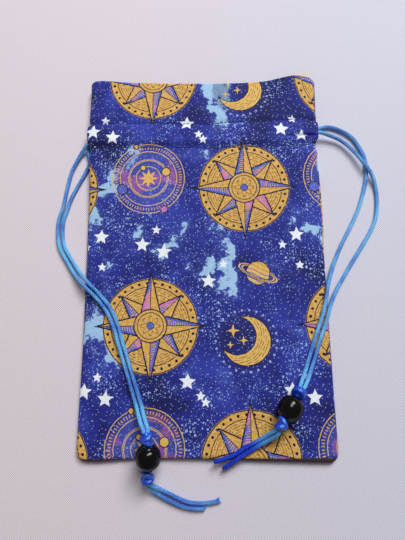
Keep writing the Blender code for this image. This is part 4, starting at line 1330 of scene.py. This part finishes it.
def row_places(line, table, is_front):
    """Centres, directions and lengths of a row's stitches, on the wandering line."""
    reach = HALF_WIDTH - FACING_INSET + 1.5 * MM
    x = np.arange(-reach, reach - 2 * MM, STITCH_PITCH)
    noise = np.random.default_rng(int(line / MM)).normal(0, 1, (3, len(x)))
    x = x + noise[0] * 0.12 * MM

    def at(x):
        y = line + along_knots(x, table)
        z = 0 * x + back_groove(line)
        if is_front:
            z = front_height(line) + ripples(x, y) + puckers(x, y) + folds(x, y) + mouth_lift(x, y)
        return np.stack([*drifted(x, y, is_front), z], -1)

    ahead = at(x + 0.4 * MM) - at(x - 0.4 * MM)
    ahead[:, 1] += noise[1] * 0.06 * np.abs(ahead[:, 0])
    return at(x), ahead, STITCH_LENGTH * (1 + 0.06 * noise[2])


for word, line, table in (("lower", LOWER_STITCH, LOWER_ROW), ("upper", UPPER_STITCH, UPPER_ROW)):
    for side, lift in (("front", 0.12 * MM), ("back", -0.02 * MM)):
        centres, directions, lengths = row_places(line, table, side == "front")
        mesh = stitch_rods(centres + [0, 0, lift], directions, lengths)
        add_piece(f"{word}_row_{side}", mesh, thread, replaces=[f"{word}_stitches_{side}"])
print(f"Each row has {len(centres)} stitches")

# %% [markdown]
# The upper row ends in a small knot, where the thread was fastened off, with a loose tail. A tail of
# thread is a tube like the cords, only thinner. The knot is three loops of it over each other.

# %% Fasten off the upper row, and dress the hidden solids
TAIL_ROUTE = [
    (59.5, 77.5, 6.35), (60.4, 77.8, 6.65), (60.9, 77.3, 6.75), (60.5, 77.0, 6.6), (60.1, 77.4, 6.65),
    (60.6, 77.8, 6.8), (61.2, 77.4, 6.65), (61.8, 77.3, 6.3), (62.7, 77.7, 5.8), (63.6, 78.3, 5.5),
]  # fmt: skip
path, length = smooth_route(TAIL_ROUTE, 0.15 * MM)
radius = np.full(len(path), 0.12 * MM)
radius[:36] = 0.18 * MM
add_piece("thread_tail", tube_mesh(path, radius, radius, 8), thread)
HIDDEN = {
    "body_seam_thread": hidden_thread,
    "left_header_seam_thread": hidden_thread,
    "right_header_seam_thread": hidden_thread,
    "casing_cord_left": hidden_satin,
    "casing_cord_right": hidden_satin,
}
for name, finish in HIDDEN.items():
    for place in frame["nodes"][name].material_slots:
        place.material = finish

for side in ("left", "right"):
    carried = [knots[f"upper_knot_{side}"], beads[side], knots[f"lower_knot_{side}"]]
    carried += [knots[f"strand_{number}_in_bead_{side}"] for number in (1, 2)]
    for number in (1, 2):
        piece, path, length = cords[f"strand_{number}_{side}"]
        piece, path, length = cords[f"tail_{number}_{side}"]

# %% [markdown]
# ## Floor, light and the end
#
# The pouch lies on a pale woven cloth, so the floor is a plane with a very fine weave in its colour.
# Two soft lamps stand behind and to the right, one lower and one higher. They throw the short shadows
# towards the lower left, and their mirror images are the small spots on each bead. The rest of the
# light is an even pale sky. Past the floor's edge the camera sees a plain pale backdrop, which gives
# no light. Together they are set so that a colour renders about as it is written.


# %% Floor
def floor_finish():
    material, place = new_finish("pale_cloth", flat=False)
    dots, uneven = crowns_of(place, 1.15), place.noise(0.9, 3.0, 0.7)
    # Painted light: the floor goes from a warmer, lighter tone at the left to a cooler, slightly darker one
    # at the right
    colour = place.parts()[0].above(-110.0, 150.0).mix(ink(221, 209, 217), ink(207, 206, 220))
    inputs = {
        "Base Color": colour.tinted(dots * 0.6 + uneven * 0.14 + 0.63),
        "Roughness": 0.9,
        "Specular IOR Level": 0.1,
        "Normal": (dots + uneven * 0.5).bump(0.0001, 0.6),
    }
    return set_surface(material, inputs)


FLOOR_LEVEL = -0.2 * MM
corners = [(-2, -2, FLOOR_LEVEL), (2, -2, FLOOR_LEVEL), (2, 2, FLOOR_LEVEL), (-2, 2, FLOOR_LEVEL)]
floor = bpy.data.objects.new("floor", fill_mesh(corners, [[0, 1, 2, 3]]))
bpy.context.scene.collection.objects.link(floor)
floor.data.materials.append(floor_finish())

# %% Lamps and sky
LAMP_DISTANCE = 1.5
LAMPS = {"lamp": ((0.34, 0.66, 0.68), 0.62, 16.2), "ceiling_lamp": ((0.10, 0.52, 0.88), 0.55, 8.6)}
for name, (place, size, energy) in LAMPS.items():
    lamp_data = bpy.data.lights.new(name, "AREA")
    lamp_data.shape = "DISK"
    lamp_data.size = size
    lamp_data.energy = energy
    lamp_data.color = (0.95, 0.99, 1.0)
    lamp = bpy.data.objects.new(name, lamp_data)
    toward = Vector(place).normalized()
    lamp.location = toward * LAMP_DISTANCE
    lamp.rotation_mode = "QUATERNION"
    lamp.rotation_quaternion = toward.to_track_quat("Z", "Y")
    bpy.context.scene.collection.objects.link(lamp)

world = bpy.data.worlds.new("sky")
world.use_nodes = True
glow = world.node_tree.nodes["Background"]
glow.inputs["Color"].default_value = ink(246, 233, 230)
glow.inputs["Strength"].default_value = 0.21
light = Value(glow.outputs[0])
backdrop = light.node("ShaderNodeBackground", None, {"Color": ink(214, 208, 217)})
camera_ray = light.node("ShaderNodeLightPath")
seen = light.node("ShaderNodeMixShader", None, {0: camera_ray, 1: light, 2: backdrop})
feed(world.node_tree.nodes["World Output"].inputs["Surface"], seen)
bpy.context.scene.world = world
print(f"The lamps are {LAMP_DISTANCE} m away")
